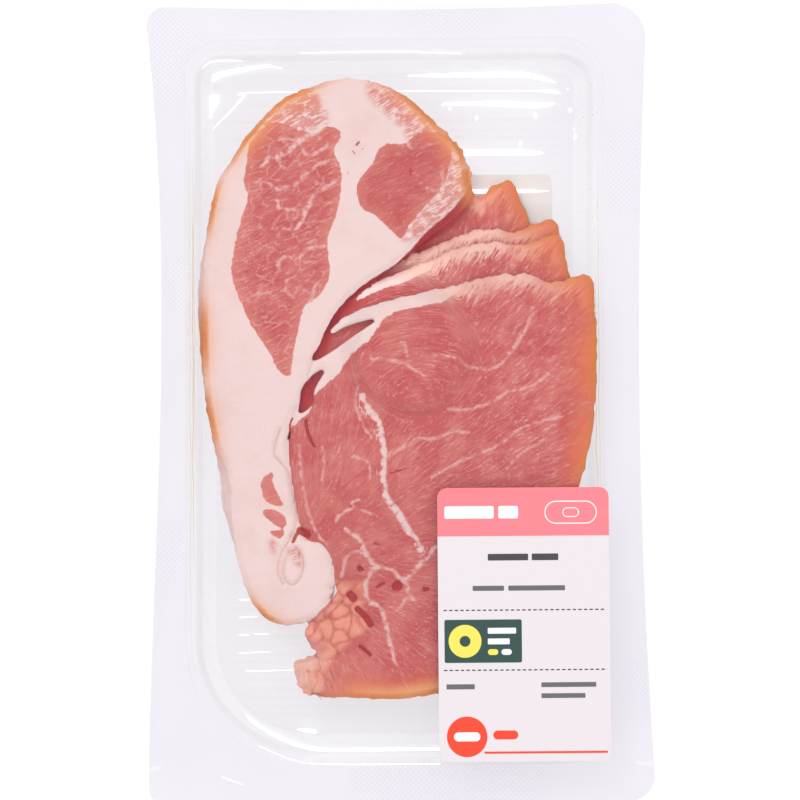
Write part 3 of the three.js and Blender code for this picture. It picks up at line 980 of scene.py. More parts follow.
@dataclass
class TearNotches:
    """The small notches at the foot of the flange's long sides, straight above and round below."""

    width: float = 1.7
    places: tuple[tuple[float, float, float], ...] = ((-80.0, -74.9, -113.2), (80.0, 72.4, -112.6))

    def cut(self, piece: bpy.types.Object) -> None:
        """Cuts both notches out of a piece."""
        for edge, tip, y in self.places:
            start_clean()
            bpy.ops.mesh.primitive_cylinder_add(
                vertices=48, radius=MM, depth=8 * MM, location=(edge * MM, y * MM, TRAY_TOP * MM)
            )
            cutter = added("notch_cutter")
            cutter.scale = (abs(tip - edge), self.width, 1.0)
            bpy.ops.object.transform_apply(location=True, rotation=True, scale=True)
            edit(
                cutter,
                lambda at=y: bpy.ops.mesh.bisect(
                    plane_co=(0, at * MM, 0), plane_no=(0, 1, 0), use_fill=True, clear_outer=True
                ),
            )
            apply_modifier(piece, "BOOLEAN", operation="DIFFERENCE", object=cutter, solver="MANIFOLD")
            bpy.data.objects.remove(cutter)


@dataclass
class FormedTray:
    """The clear tray: flange, cavity with a foot ring, and a raised floor panel with cross ribs."""

    rim_fillet: float = 1.4
    wall_draft: float = WALL_DRAFT
    foot_fillet: float = 1.6
    foot_width: float = 4.5
    panel_slope: float = 0.8
    rib_pitch: float = 5.55
    rib_count: int = 36
    rib_rise: float = 0.8
    rib_foot: float = 3.2
    rib_crest: float = 1.7
    rib_end: float = 3.2
    rows: int = 420
    end_rows: int = 9
    columns: tuple[float, ...] = (
        0.0, 0.008, 0.016, 0.024, 0.032, 0.04, 0.048, 0.056, 0.064, 0.072, 0.08, 0.088, 0.096, 0.11, 0.14,
        0.2, 0.3, 0.42, 0.54, 0.66, 0.78, 0.88, 0.95, 0.962, 0.972, 0.982, 0.992, 1.0,
    )
    foot_loops: int = 8
    pad_corner: Point = (-58.4, 98.2)
    pad_reach: float = 11.0
    pad_rise: float = 0.7
    sheet_veil: float = 0.05
    seal_veil: float = 0.02
    # Painted shade: extra veil on the sloped walls and fillets, and on the ribs' flanks
    slope_shade_veil: float = 0.035
    rib_shade_veil: float = 0.006
    haze: float = 0.012
    haze_size: float = 22.0
    finish: ClearPlastic = ClearPlastic("clear_tray", (0.42, 0.32, 0.55), 0.08)

    def build(self) -> bpy.types.Object:
        """Models the tray, dresses it and returns it."""
        heights = self.row_heights()
        shares = self.ring_shares(heights)
        shell = extruded_loops("clear_tray", self.loops(shares))
        inside = self.panel("floor_panel", shares, self.panel_edge(), 0.0)
        under = self.panel("floor_underside", shares, self.panel_edge() + SHEET / 2, -SHEET)
        edit(under, bpy.ops.mesh.flip_normals)
        tray = join([shell, inside, under])
        edit(
            tray,
            lambda: bpy.ops.mesh.remove_doubles(threshold=1e-5),
            lambda: bpy.ops.mesh.normals_make_consistent(inside=False),
        )
        TearNotches().cut(tray)
        smooth(tray, 50.0)
        self.mark(tray)
        hand_over(tray, self.finish.material(), "tray_plastic", "tray")
        return tray

    def panel_edge(self) -> float:
        """How far inside the mouth the floor panel's flat top starts."""
        return self.wall_draft + self.foot_fillet + self.foot_width + self.panel_slope

    def row_heights(self) -> np.ndarray:
        """The y of the panel's rows, which lie closer at its rounded ends."""
        low, high = MOUTH.ends(self.panel_edge())
        radius = min(MOUTH.radii) - self.panel_edge()
        ramp = radius * (1 - np.cos(np.linspace(0, math.pi / 2, self.end_rows)))
        rows = np.linspace(low, high, self.rows)
        rows = rows[(rows > low + radius) & (rows < high - radius)]
        return np.concatenate([low + ramp, rows, (high - ramp)[::-1]])

    def ring_shares(self, heights: np.ndarray) -> np.ndarray:
        """The shares round the outline at which the panel's rows and columns meet its edge."""
        right, right_points = MOUTH.flank(True, self.panel_edge())
        left, left_points = MOUTH.flank(False, self.panel_edge())
        columns = np.array(self.columns[1:-1])
        return np.concatenate(
            [
                np.interp(heights, right_points[:, 1], right),
                4.0 - columns[::-1],
                np.interp(heights, left_points[:, 1], left)[::-1],
                7.0 + columns,
            ]
        )

    def panel(self, name: str, shares: np.ndarray, inset: float, lift: float) -> bpy.types.Object:
        """The ribbed floor, whose border is the ring of shares at an inset."""
        ring = MOUTH.ring(shares, inset)
        across_cells = len(self.columns) - 1
        row_cells = len(shares) // 2 - across_cells
        right = ring[: row_cells + 1]
        left = ring[row_cells + across_cells : 2 * row_cells + across_cells + 1][::-1]
        columns = np.array(self.columns)

        def place(across: np.ndarray, along: np.ndarray) -> np.ndarray:
            """Lays each row between its two ends."""
            row = np.round(along * row_cells).astype(int)
            share = columns[np.round(across * across_cells).astype(int)][:, None]
            plan = left[row] + (right[row] - left[row]) * share
            return np.column_stack([plan, self.floor_height(plan[:, 0], plan[:, 1]) + lift])

        return mapped_grid(name, across_cells, row_cells, place)

    def profile(self) -> list[Point]:
        """The section of the tray's inner surface, as inset and height, from the rim to the panel."""
        turn = np.linspace(0, math.pi / 2, 6)
        top = TRAY_TOP - self.rim_fillet
        wall_foot = SHEET + self.foot_fillet
        foot = self.wall_draft + self.foot_fillet
        rim = [(self.rim_fillet * (math.sin(a) - 1), top + self.rim_fillet * math.cos(a)) for a in turn]
        wall = [(self.wall_draft * s, top + (wall_foot - top) * s) for s in (0.25, 0.5, 0.75)]
        fillet = [
            (foot - self.foot_fillet * math.cos(a), wall_foot - self.foot_fillet * math.sin(a)) for a in turn
        ]
        start = foot + self.foot_width
        ring = [(foot + self.foot_width * i / self.foot_loops, SHEET) for i in range(1, self.foot_loops + 1)]
        return rim + wall + fillet + ring + [(start + self.panel_slope, FLOOR_TOP)]

    def loops(self, shares: np.ndarray) -> list[np.ndarray]:
        """The loops of the shell: up inside, over the flange and down outside.

        Args:
            shares: Where the points lie round the outline.

        Returns:
            The loops, each row x, y and z.
        """
        inner = np.array(self.profile())
        along = np.gradient(inner, axis=0)
        along /= np.linalg.norm(along, axis=1)[:, None]
        outer = inner + SHEET * np.column_stack([along[:, 1], -along[:, 0]])
        outer[0] = inner[0] - (0.0, SHEET)
        outer[-2:] = [(inner[-2][0] + SHEET / 2, 0.0), (inner[-1][0] + SHEET / 2, FLOOR_TOP - SHEET)]
        flange = FLANGE.ring(shares)
        rings = [(MOUTH.ring(shares, inset), z) for inset, z in inner[::-1]]
        rings += [(flange, TRAY_TOP), (flange, TRAY_TOP - SHEET)]
        rings += [(MOUTH.ring(shares, inset), z) for inset, z in outer]
        return [np.column_stack([plan, np.full(len(plan), z)]) for plan, z in rings]

    def floor_height(self, x: np.ndarray, y: np.ndarray) -> np.ndarray:
        """The panel's height with its ribs and the corner pad."""
        left, right = MOUTH.span(self.panel_edge(), y)
        low, high = MOUTH.ends(self.panel_edge())
        inner = np.minimum(np.minimum(x - left, right - x), np.minimum(y - low, high - y))
        last = (self.rib_count - 1) / 2
        index = np.clip(np.round(y / self.rib_pitch - 0.5) + 0.5, -last, last)
        off_crest = np.abs(y - index * self.rib_pitch)
        rib = 1 - smoothstep(self.rib_crest / 2 - 0.3, self.rib_foot / 2 + 0.3, off_crest)
        fade = smoothstep(self.rib_end - 0.8, self.rib_end + 0.8, inner)
        step = (self.pad_corner[1] - y) + (x - self.pad_corner[0])
        pad = smoothstep(0.0, 1.2, self.pad_reach - step) * smoothstep(0.2, 1.4, inner)
        below = smoothstep(-0.6, 0.6, self.pad_corner[1] - y)
        height = np.maximum(self.rib_rise * rib * fade, self.pad_rise * pad * below)
        return FLOOR_TOP + height

    def surface_height(self, x: np.ndarray, y: np.ndarray) -> np.ndarray:
        """The height of the tray's upper surface at x and y."""
        depth = depth_inside(np.column_stack([x, y]), MOUTH.loop())
        insets, heights = np.array(self.profile()).T
        shell = np.interp(depth, insets, heights)
        return np.where(depth < self.panel_edge(), shell, self.floor_height(x, y))

    def mark(self, tray: bpy.types.Object) -> None:
        """Stores how cloudy the tray is, more where sealed, with painted shade on its slopes and rib flanks.
        """
        points = read_points(tray)
        normals = read_normals(tray)
        slope = 1 - np.abs(normals[:, 2])
        sealed = smoothstep(-0.5, 0.5, -depth_inside(points, MOUTH.loop()) - self.rim_fillet)
        sealed *= points[:, 2] > TRAY_TOP - SHEET - 0.1
        # Painted shade: more veil on the sloped walls and fillets above the ribs
        crease = smoothstep(0.02, 0.5, slope) * (points[:, 2] > FLOOR_TOP + self.rib_rise + 0.1)
        # Painted shade: more veil on the ribs' flanks
        ribs = smoothstep(0.1, 0.4, np.abs(normals[:, 1])) * (points[:, 2] < FLOOR_TOP + self.rib_rise + 0.1)
        veil = self.sheet_veil + self.seal_veil * sealed + self.slope_shade_veil * crease + self.rib_shade_veil * ribs
        veil += self.haze * rough(points, self.haze_size, 4.0)
        write_attribute(tray, "veil", veil)
        write_attribute(tray, "knurl", np.zeros(len(points)))


# Streaks of light on the tray: x, y and half a width at each point
GLINT_LINES = (
    (
        (3.8, 104.9, 0.2), (20.0, 105.0, 0.7), (36.0, 105.1, 0.8), (42.6, 104.7, 0.8),
        (48.0, 103.5, 0.6), (51.0, 102.3, 0.1),
    ),
    (
        (-48.3, 99.9, 0.1), (-30.0, 99.9, 0.1), (0.0, 100.0, 0.1), (20.0, 99.9, 0.1),
        (45.0, 99.7, 0.15), (49.5, 99.5, 0.5), (52.5, 98.9, 0.1),
    ),
    ((14.4, 95.4, 0.1), (17.0, 95.7, 0.5), (30.0, 95.7, 0.75), (45.0, 95.1, 0.85), (50.4, 95.6, 0.2)),
    ((10.0, 79.9, 0.8), (25.0, 79.9, 0.95), (38.0, 79.8, 0.95), (44.0, 79.6, 0.6), (46.9, 79.6, 0.1)),
    ((15.0, 67.5, 0.6), (30.0, 67.5, 0.6), (40.0, 67.5, 0.55), (48.4, 67.4, 0.1)),
    (
        (-58.7, 103.7, 0.2), (-57.7, 105.3, 0.9), (-52.2, 107.0, 0.7), (-45.7, 108.1, 0.45),
        (-40.8, 108.6, 0.35), (-36.6, 107.8, 0.08),
    ),
    ((-58.3, 99.5, 0.4), (-58.3, 98.8, 1.5), (-58.6, 96.5, 1.2), (-59.2, 94.0, 0.5), (-59.6, 91.8, 0.1)),
    ((-58.7, 88.4, 0.12), (-53.2, 93.7, 0.22), (-48.6, 98.8, 0.3)),
    ((-50.6, 99.4, 0.1), (-49.2, 99.4, 0.4), (-48.2, 99.2, 0.2)),
    ((-51.2, -62.0, 0.04), (-49.0, -61.9, 0.16), (-46.0, -61.8, 0.12)),
    ((-51.2, -67.6, 0.04), (-48.5, -67.4, 0.15), (-45.4, -67.3, 0.04)),
    ((-51.2, -73.2, 0.04), (-49.5, -73.1, 0.13), (-48.0, -73.0, 0.04)),
    ((-46.6, -72.7, 0.04), (-44.0, -72.8, 0.13), (-41.8, -72.9, 0.04)),
    ((-51.3, -78.8, 0.04), (-46.0, -78.6, 0.12), (-41.5, -78.6, 0.04)),
    ((-49.0, -84.4, 0.04), (-42.0, -84.4, 0.1), (-34.0, -84.3, 0.04)),
    (
        (-49.4, -98.0, 0.08), (-46.9, -100.6, 0.3), (-41.8, -103.9, 0.45), (-35.2, -107.1, 0.5),
        (-29.0, -109.0, 0.5), (-22.7, -109.6, 0.45), (-10.0, -109.6, 0.45), (14.0, -109.6, 0.4),
    ),
    ((-32.7, -103.0, 0.15), (-30.5, -103.3, 0.5), (-27.5, -103.7, 0.55), (-26.8, -103.6, 0.2)),
    ((-62.1, 108.0, 0.08), (-59.4, 110.1, 0.22), (-54.5, 110.5, 0.18), (-49.5, 110.4, 0.06)),
    (
        (-30.6, 112.4, 0.08), (-20.0, 112.5, 0.18), (0.0, 112.5, 0.2), (14.0, 112.3, 0.25),
        (20.8, 112.0, 0.08),
    ),
    (
        (-44.9, -107.7, 0.05), (-38.7, -110.3, 0.12), (-30.5, -112.4, 0.15), (-17.2, -113.0, 0.15),
        (12.0, -113.0, 0.12),
    ),
    ((-56.0, -116.5, 0.05), (-52.5, -117.8, 0.12), (-49.4, -118.9, 0.05)),
)


@dataclass
class Glints:
    """The streaks of light on the tray's edges and ribs, as thin flat threads."""

    lift: float = 0.12
    flatness: float = 0.12
    least_width: float = 0.03
    finish: PlainFinish = PlainFinish("glint", (1.0, 1.0, 1.0), 0.25, alpha=0.85, glow=0.9)

    def build(self, tray: FormedTray) -> bpy.types.Object:
        """Models the streaks on a tray's surface, dresses them and returns them."""
        threads = []
        for line in GLINT_LINES:
            rows = smooth_path(line, closed=False, steps=8)
            height = tray.surface_height(rows[:, 0], rows[:, 1]) + self.lift
            width = np.maximum(rows[:, 2], self.least_width)
            threads.append(thread("glints", np.column_stack([rows[:, :2], height, width]), self.flatness))
        glints = join(threads)
        hand_over(glints, self.finish.material(), "tray_plastic")
        return glints


@dataclass
class LidFilm:
    """The clear film over the mouth, sealed to the flange and gently domed by the gas inside."""

    thickness: float = 0.2
    ripple: float = 0.05
    cells: tuple[int, int] = (110, 180)
    sheet_veil: float = 0.022
    seal_veil: float = 0.022
    haze: float = 0.008
    haze_size: float = 30.0
    seal_patches: float = 38.0
    finish: ClearPlastic = ClearPlastic("lid_film", (0.42, 0.32, 0.55), 0.06)

    def build(self) -> bpy.types.Object:
        """Models the film, dresses it and returns it."""
        film = sheet_in_outline("lid_film_clear", FLANGE, 0.0, self.cells, self.height)
        apply_modifier(film, "SOLIDIFY", thickness=self.thickness * MM, offset=1.0)
        TearNotches().cut(film)
        smooth(film)
        self.mark(film)
        hand_over(film, self.finish.material(), "lid_film", "lid_film")
        return film

    def height(self, x: np.ndarray, y: np.ndarray) -> np.ndarray:
        """The film's underside, with faint ripples over the mouth."""
        dome = film_height(x, y)
        waves = np.sin(x / 7.0 + 0.6 * np.sin(y / 17.0)) * np.sin(y / 23.0 + x / 31.0)
        return FILM_UNDERSIDE + dome + self.ripple * waves * smoothstep(0.0, 0.3, dome)

    def mark(self, film: bpy.types.Object) -> None:
        """Stores how cloudy the film is, and where the sealing pattern is pressed into it."""
        points = read_points(film)
        sealed = 1 - smoothstep(-0.6, 0.4, depth_inside(points, MOUTH.loop()))
        haze = self.haze * rough(points, self.haze_size, 6.0)
        pressed = smoothstep(0.1, 0.45, rough(points, self.seal_patches, 8.0))
        write_attribute(film, "veil", self.sheet_veil + self.seal_veil * sealed + haze)
        write_attribute(film, "knurl", sealed * pressed)


@dataclass
class FilmLabel:
    """The printed label on the film: a coloured head, plain bars for words and simple shapes."""

    left: float = 11.7
    right: float = 65.2
    bottom: float = -112.5
    top: float = -27.4
    radius: float = 3.0
    thickness: float = 0.15
    cells: tuple[int, int] = (40, 70)
    pink: Colour = (0.88, 0.205, 0.24)
    ground: Colour = (0.735, 0.675, 0.71)
    white: Colour = (0.85, 0.84, 0.85)
    ink: Colour = (0.045, 0.045, 0.055)
    grey_ink: Colour = (0.12, 0.12, 0.13)
    green: Colour = (0.018, 0.06, 0.052)
    yellow: Colour = (0.86, 0.72, 0.10)
    red: Colour = (0.86, 0.05, 0.014)

    def build(self) -> bpy.types.Object:
        """Models the label, dresses it and returns it."""
        corners = (self.radius,) * 4
        outline = RoundedOutline(self.left, self.right, self.bottom, self.top, corners, corner_steps=10)
        label = sheet_in_outline(
            "film_label", outline, 0.0, self.cells, lambda x, y: LABEL_UNDERSIDE + film_height(x, y)
        )
        apply_modifier(label, "SOLIDIFY", thickness=self.thickness * MM, offset=1.0)
        smooth(label)
        finish = PrintedPaper(
            "printed_label", (self.left, self.top), self.ground, tuple(self.marks()), (38.1, 56.7)
        )
        hand_over(label, finish.material(), "front_label", "front_label")
        return label

    def marks(self) -> list[Mark]:
        """The fields of colour, from the head of the label down."""
        head = [
            Mark(-2.0, -3.0, 56.0, 15.1, self.pink, 0.0),
            Mark(2.2, 5.7, 17.6, 9.6, self.white, 0.6),
            Mark(19.0, 5.7, 25.2, 9.6, self.white, 0.6),
            Mark(33.4, 4.2, 49.8, 11.4, self.white, 3.6, ring=0.35),
            Mark(39.0, 6.3, 44.2, 9.3, self.white, 1.5, ring=0.3),
        ]
        words = [
            Mark(15.6, 20.6, 28.2, 22.7, self.ink, 0.3),
            Mark(29.3, 20.6, 37.6, 22.7, self.ink, 0.3),
            Mark(10.8, 30.5, 20.6, 32.1, self.grey_ink, 0.3),
            Mark(21.9, 30.5, 39.6, 32.1, self.grey_ink, 0.3),
            Mark(2.4, 61.0, 11.2, 62.6, self.grey_ink, 0.2),
            Mark(31.9, 60.6, 49.0, 62.1, self.grey_ink, 0.2),
            Mark(31.9, 64.0, 45.6, 65.5, self.grey_ink, 0.2),
        ]
        panel = [
            Mark(1.9, 41.0, 26.0, 54.4, self.green, 0.6),
            Mark(3.2, 42.6, 13.4, 52.8, self.yellow, 5.1),
            Mark(6.6, 46.0, 10.0, 49.4, self.green, 1.7),
            Mark(15.4, 43.6, 24.2, 45.4, self.white, 0.3),
            Mark(15.4, 46.9, 22.2, 48.7, self.white, 0.3),
            Mark(15.4, 50.2, 18.6, 52.0, self.yellow, 0.9),
            Mark(19.6, 50.2, 22.8, 52.0, self.white, 0.9),
        ]
        foot = [
            Mark(2.4, 71.0, 15.0, 83.6, self.red, 6.3),
            Mark(4.6, 75.9, 12.8, 78.7, self.white, 1.4),
            Mark(16.8, 75.4, 24.6, 78.2, self.red, 1.4),
            Mark(14.0, 81.9, 52.4, 82.6, self.red, 0.2),
        ]
        return head + words + panel + foot


@dataclass
class FloorLabel:
    """The plain paper label under the tray's floor, whose solid keeps its shape."""

    finish: PrintedPaper = PrintedPaper(
        "floor_label",
        (-4.1, 73.0),
        (0.95, 0.90, 0.83),
        (
            Mark(6.0, 6.0, 36.0, 8.0, (0.62, 0.62, 0.60), 0.4),
            Mark(6.0, 11.0, 44.0, 12.6, (0.66, 0.66, 0.63), 0.4),
            Mark(6.0, 15.0, 40.0, 16.6, (0.66, 0.66, 0.63), 0.4),
            Mark(6.0, 19.0, 30.0, 20.6, (0.66, 0.66, 0.63), 0.4),
        ),
        # Painted light: the label glows a little against the shade under the tray's floor
        glow=0.12,
    )

    def dress(self) -> None:
        """Gives the label's own solid its finish."""
        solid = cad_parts["back_label"]
        solid.data.materials.clear()
        solid.data.materials.append(self.finish.material())
        LOG.info("back_label: dressed")


# The bacon. All lists of points are millimetres on the top slice, seen from above.

FAN_PIVOT = (-31.5, -31.5)
FAT_LOBE = (
    (-35.3, -10.1), (-30.6, 1.6), (-26.1, 15.8), (-21.1, 26.8), (-12.0, 36.5), (0.6, 44.7), (8.4, 53.2),
    (17.3, 61.1), (21.7, 68.0), (16.4, 81.9), (3.1, 93.9), (-15.8, 100.8), (-34.6, 93.9), (-46.5, 84.3),
    (-54.5, 73.7), (-59.0, 58.0), (-60.8, 36.2), (-60.5, 6.3), (-57.8, -11.5), (-53.6, -21.5),
    (-52.3, -33.0), (-51.2, -45.0), (-46.5, -61.5), (-40.0, -69.0), (-34.0, -70.2), (-27.0, -67.3),
    (-21.3, -60.0), (-21.0, -50.4), (-24.4, -44.6), (-31.0, -40.0),
)
LOIN_LOBE = (
    (-34.0, -12.6), (-29.0, 8.8), (-24.3, 17.3), (-17.3, 25.8), (-4.7, 30.9), (9.4, 34.0), (22.1, 37.2),
    (40.3, 41.0), (47.9, 37.2), (59.2, 38.1), (61.4, 31.5), (60.8, -6.3), (57.6, -21.4), (49.1, -45.7),
    (37.8, -69.3), (25.2, -84.4), (11.7, -91.3), (-1.6, -93.6), (-15.8, -92.3), (-29.6, -90.7),
    (-32.8, -82.5), (-25.5, -78.8), (-29.6, -74.0), (-25.8, -65.8), (-19.2, -60.2), (-22.1, -50.4),
    (-30.2, -44.1),
)
# Where the fat lobes under the top one stand out past it: x, y, reach and the way they go
PEEKS = ((-61.0, 28.0, 24.0, -0.7, 0.0), (-55.0, -28.0, 13.0, -1.1, 0.0), (17.0, 63.0, 17.0, 0.75, -0.8))
# Where the outlines stand out further or less than the solids: x, y, reach and the way they go
FAT_BULGES = (
    (-34.0, 96.0, 11.0, -0.9, 1.7), (-14.0, 101.0, 9.0, 0.0, 1.0), (0.0, 96.0, 11.0, 0.7, 1.6),
    (18.5, 78.0, 6.0, 1.3, 0.7), (-53.0, 77.0, 6.0, 1.0, -0.4), (-34.0, -70.0, 8.0, 0.0, 0.9),
    (-21.0, -54.0, 5.0, -0.7, 0.0),
)
LOIN_BULGES = ((0.0, -94.0, 14.0, 0.0, 0.9), (40.0, 41.0, 10.0, 0.0, -1.5), (58.5, 38.0, 4.5, 1.0, 0.8))
# The small muscles in the fat lobe
EYE_MUSCLE = (
    (-46.3, 81.6), (-47.9, 74.7), (-48.5, 69.3), (-46.9, 64.6), (-48.8, 58.9), (-51.0, 50.7),
    (-52.3, 42.5), (-51.7, 37.8), (-50.1, 33.1), (-46.0, 23.9), (-41.0, 16.4), (-37.8, 10.1),
    (-35.0, 7.9), (-33.7, 10.1), (-32.8, 15.8), (-31.5, 22.1), (-29.6, 29.6), (-26.5, 32.1),
    (-23.0, 35.6), (-21.4, 41.6), (-22.1, 50.4), (-20.2, 56.4), (-18.3, 63.0), (-17.6, 72.5),
    (-19.8, 79.4), (-18.0, 82.5), (-18.3, 85.7), (-22.1, 86.6), (-25.8, 84.4), (-31.5, 85.7),
    (-39.4, 87.6),
)
HEAD_MUSCLE = (
    (-4.4, 80.6), (-7.9, 75.0), (-12.3, 69.3), (-12.6, 64.9), (-11.0, 60.8), (-6.9, 58.6), (-2.5, 54.2),
    (1.3, 51.3), (4.4, 56.1), (9.4, 62.1), (14.2, 67.4), (15.8, 73.1), (16.0, 80.0), (13.0, 84.5),
    (6.0, 84.0), (2.5, 81.0),
)
LEAN_PATCHES = (
    EYE_MUSCLE,
    HEAD_MUSCLE,
    (
        (-40.0, -22.1), (-43.2, -24.6), (-42.8, -29.6), (-40.3, -32.1), (-36.5, -32.4), (-37.8, -29.0),
        (-39.7, -25.2),
    ),
    (
        (-42.8, -34.0), (-40.3, -33.4), (-37.5, -34.6), (-35.6, -36.5), (-36.2, -40.0), (-39.1, -38.4),
        (-42.2, -35.9),
    ),
    ((-40.3, -40.3), (-36.2, -40.0), (-36.9, -42.8), (-39.1, -42.2)),
    ((-31.8, -46.6), (-31.1, -47.4), (-30.9, -49.4), (-31.2, -50.8), (-31.7, -48.8)),
)
# Mottled zones: above the eye muscle, beside the head muscle, along its edge, and in the rolled end
FROSTED = (
    (
        (-46.5, 84.0), (-39.4, 92.9), (-33.1, 95.8), (-25.8, 97.0), (-23.3, 93.2), (-21.4, 89.5),
        (-23.6, 86.0), (-31.5, 84.0), (-39.4, 84.0),
    ),
    (
        (2.5, 88.3), (3.1, 82.3), (12.6, 79.4), (16.7, 78.8), (15.4, 81.9), (11.3, 87.6), (5.7, 93.2),
        (2.8, 92.7),
    ),
    ((-8.0, 99.5), (4.0, 93.5), (6.0, 88.0), (1.0, 86.0), (-4.0, 90.0), (-8.5, 94.0), (-9.5, 97.0)),
    (
        (16.7, 78.8), (22.0, 69.0), (17.0, 60.4), (8.0, 52.6), (1.3, 50.3), (4.4, 56.1), (9.4, 62.1),
        (14.2, 67.4), (15.8, 73.1),
    ),
    ((-34.4, -46.4), (-32.6, -45.6), (-31.2, -47.2), (-30.9, -50.4), (-31.6, -51.6), (-33.4, -49.6)),
    ((-40.6, -43.4), (-38.8, -43.4), (-38.8, -45.8), (-39.4, -47.4), (-40.3, -46.6)),
)
# Where the fat lobe's edge is torn
RAGGED_SPOTS = ((20.0, 75.0, 7.0), (16.0, 82.0, 4.0), (-60.5, 4.0, 4.0))
# The band of fat along the loin's upper left edge, by its inner border
FAT_BAND = (
    (-37.0, -9.0), (-30.5, -5.3), (-27.9, -2.7), (-26.9, 1.3), (-24.5, 4.0), (-19.2, 8.6), (-14.6, 15.3),
    (-9.3, 19.2), (-4.6, 25.9), (2.0, 28.9), (8.6, 30.2), (13.0, 31.0), (17.0, 33.0), (20.0, 36.5),
    (18.0, 42.0), (-5.0, 40.0), (-20.0, 36.0), (-33.0, 22.0), (-40.0, 0.0),
)
# Seams of fat through the loin: half a width, then the points
SEAMS = (
    (0.75, (
        (-11.3, 1.9), (-10.4, -1.0), (-6.6, -6.0), (-5.4, -11.3), (-4.7, -16.1), (-5.0, -23.3),
        (-4.1, -29.9), (-0.3, -35.0), (1.9, -39.1), (4.7, -43.2), (6.6, -46.3),
    )),
    (0.22, ((-12.9, 4.2), (-13.6, 0.0), (-12.4, -4.6), (-10.8, -8.2), (-8.6, -11.4))),
    (0.4, ((-20.2, -37.2), (-18.3, -35.0), (-14.8, -33.7), (-14.8, -31.8), (-12.9, -30.9))),
    (0.45, (
        (-16.7, -40.0), (-12.6, -43.2), (-10.7, -47.2), (-7.6, -51.3), (-3.8, -52.3), (-0.9, -54.5),
        (0.9, -56.1), (3.5, -54.2), (7.2, -50.4), (10.1, -46.9), (12.5, -45.3),
    )),
    (0.35, ((-10.7, -47.2), (-13.9, -46.9), (-16.4, -48.2), (-17.3, -50.4), (-18.0, -54.5))),
    (0.45, (
        (-7.6, -52.3), (-9.8, -54.5), (-10.7, -58.0), (-10.1, -62.4), (-7.6, -63.6), (-5.4, -66.2),
        (-4.4, -69.6), (-3.8, -73.4), (-2.8, -78.1), (-1.9, -82.5),
    )),
    (0.35, ((0.9, -56.1), (2.5, -58.0), (2.5, -60.5), (4.7, -62.4), (7.9, -63.6))),
    (0.25, ((2.5, -60.5), (0.6, -63.6), (-0.9, -65.2))),
    (0.2, ((-12.0, -34.0), (-9.5, -34.6), (-7.0, -36.4))),
    (0.3, (
        (11.6, 14.6), (18.6, 13.3), (21.9, 10.6), (30.5, 10.3), (35.2, 15.3), (39.8, 21.9),
        (42.4, 29.2),
    )),
    (0.25, ((15.3, -2.7), (21.9, -2.7), (28.5, -0.7), (34.5, 2.6), (41.8, 4.6), (47.1, 8.0))),
    (0.28, (
        (10.0, -23.9), (18.6, -19.2), (25.2, -16.6), (32.5, -13.3), (35.8, -10.0), (45.1, -6.6),
        (51.1, -5.3),
    )),
    (0.25, ((-4.6, -17.9), (-2.0, -16.6), (5.3, -11.9), (11.3, -11.9), (17.2, -9.6), (21.9, -10.0))),
    (0.18, ((33.8, -21.2), (38.5, -16.6), (46.0, -12.0))),
    (0.18, ((0.0, 17.2), (2.0, 18.6), (2.7, 13.3), (2.0, 11.9))),
    (0.25, ((-14.6, -17.2), (-9.9, -19.2), (-9.3, -23.9))),
    (0.22, ((-24.5, -12.6), (-23.5, -17.2), (-24.2, -24.5))),
    (0.28, ((-8.6, 13.3), (-2.0, 12.9), (2.0, 11.9), (4.6, 9.9), (8.0, 8.0))),
    (0.22, ((5.7, -12.6), (1.3, -14.8), (-3.8, -17.3))),
    (0.3, ((-31.4, -14.0), (-30.6, -24.0), (-29.0, -33.0), (-26.0, -41.0), (-23.0, -44.5))),
    (0.5, (
        (-22.8, 86.8), (-24.5, 85.3), (-27.7, 83.6), (-30.9, 81.5), (-33.5, 79.2), (-37.0, 77.2),
        (-40.5, 76.6), (-42.3, 74.8),
    )),
    (0.25, ((-30.9, 81.5), (-33.5, 82.4), (-36.5, 82.7))),
    (0.3, ((-30.9, 81.5), (-29.5, 79.2), (-28.0, 77.7), (-24.2, 78.9), (-21.9, 80.7))),
    (0.2, ((-37.0, 77.2), (-36.7, 74.8), (-35.3, 73.7))),
    (0.32, (
        (-17.8, 76.6), (-21.3, 76.0), (-25.4, 74.3), (-28.9, 71.3), (-31.2, 69.0), (-34.7, 67.6),
        (-38.2, 67.3), (-40.5, 69.0), (-45.2, 69.6),
    )),
    (0.4, (
        (-19.6, 69.6), (-21.9, 67.8), (-25.4, 66.1), (-27.1, 63.8), (-28.3, 60.9), (-33.5, 60.6),
        (-37.0, 61.2), (-37.6, 63.2),
    )),
    (0.45, ((-28.3, 60.9), (-29.5, 57.9), (-31.2, 55.0), (-33.5, 53.9), (-35.9, 54.5))),
    (0.32, (
        (-23.1, 49.2), (-27.1, 48.6), (-30.6, 45.7), (-31.5, 43.4), (-34.4, 45.9), (-37.0, 44.6),
        (-37.9, 41.9),
    )),
    (0.3, ((-22.0, 33.0), (-24.5, 37.5), (-26.0, 36.4), (-26.6, 33.5), (-28.3, 30.0))),
    (0.2, ((-42.9, 37.0), (-43.7, 34.1), (-40.5, 34.7))),
    (0.2, ((-34.7, 38.1), (-35.3, 35.2), (-33.0, 33.0))),
    (0.28, ((3.1, 82.4), (4.6, 79.8), (9.5, 80.7), (12.5, 81.2))),
    (0.28, ((13.9, 73.5), (14.2, 69.0), (13.0, 66.7), (9.5, 66.7))),
)
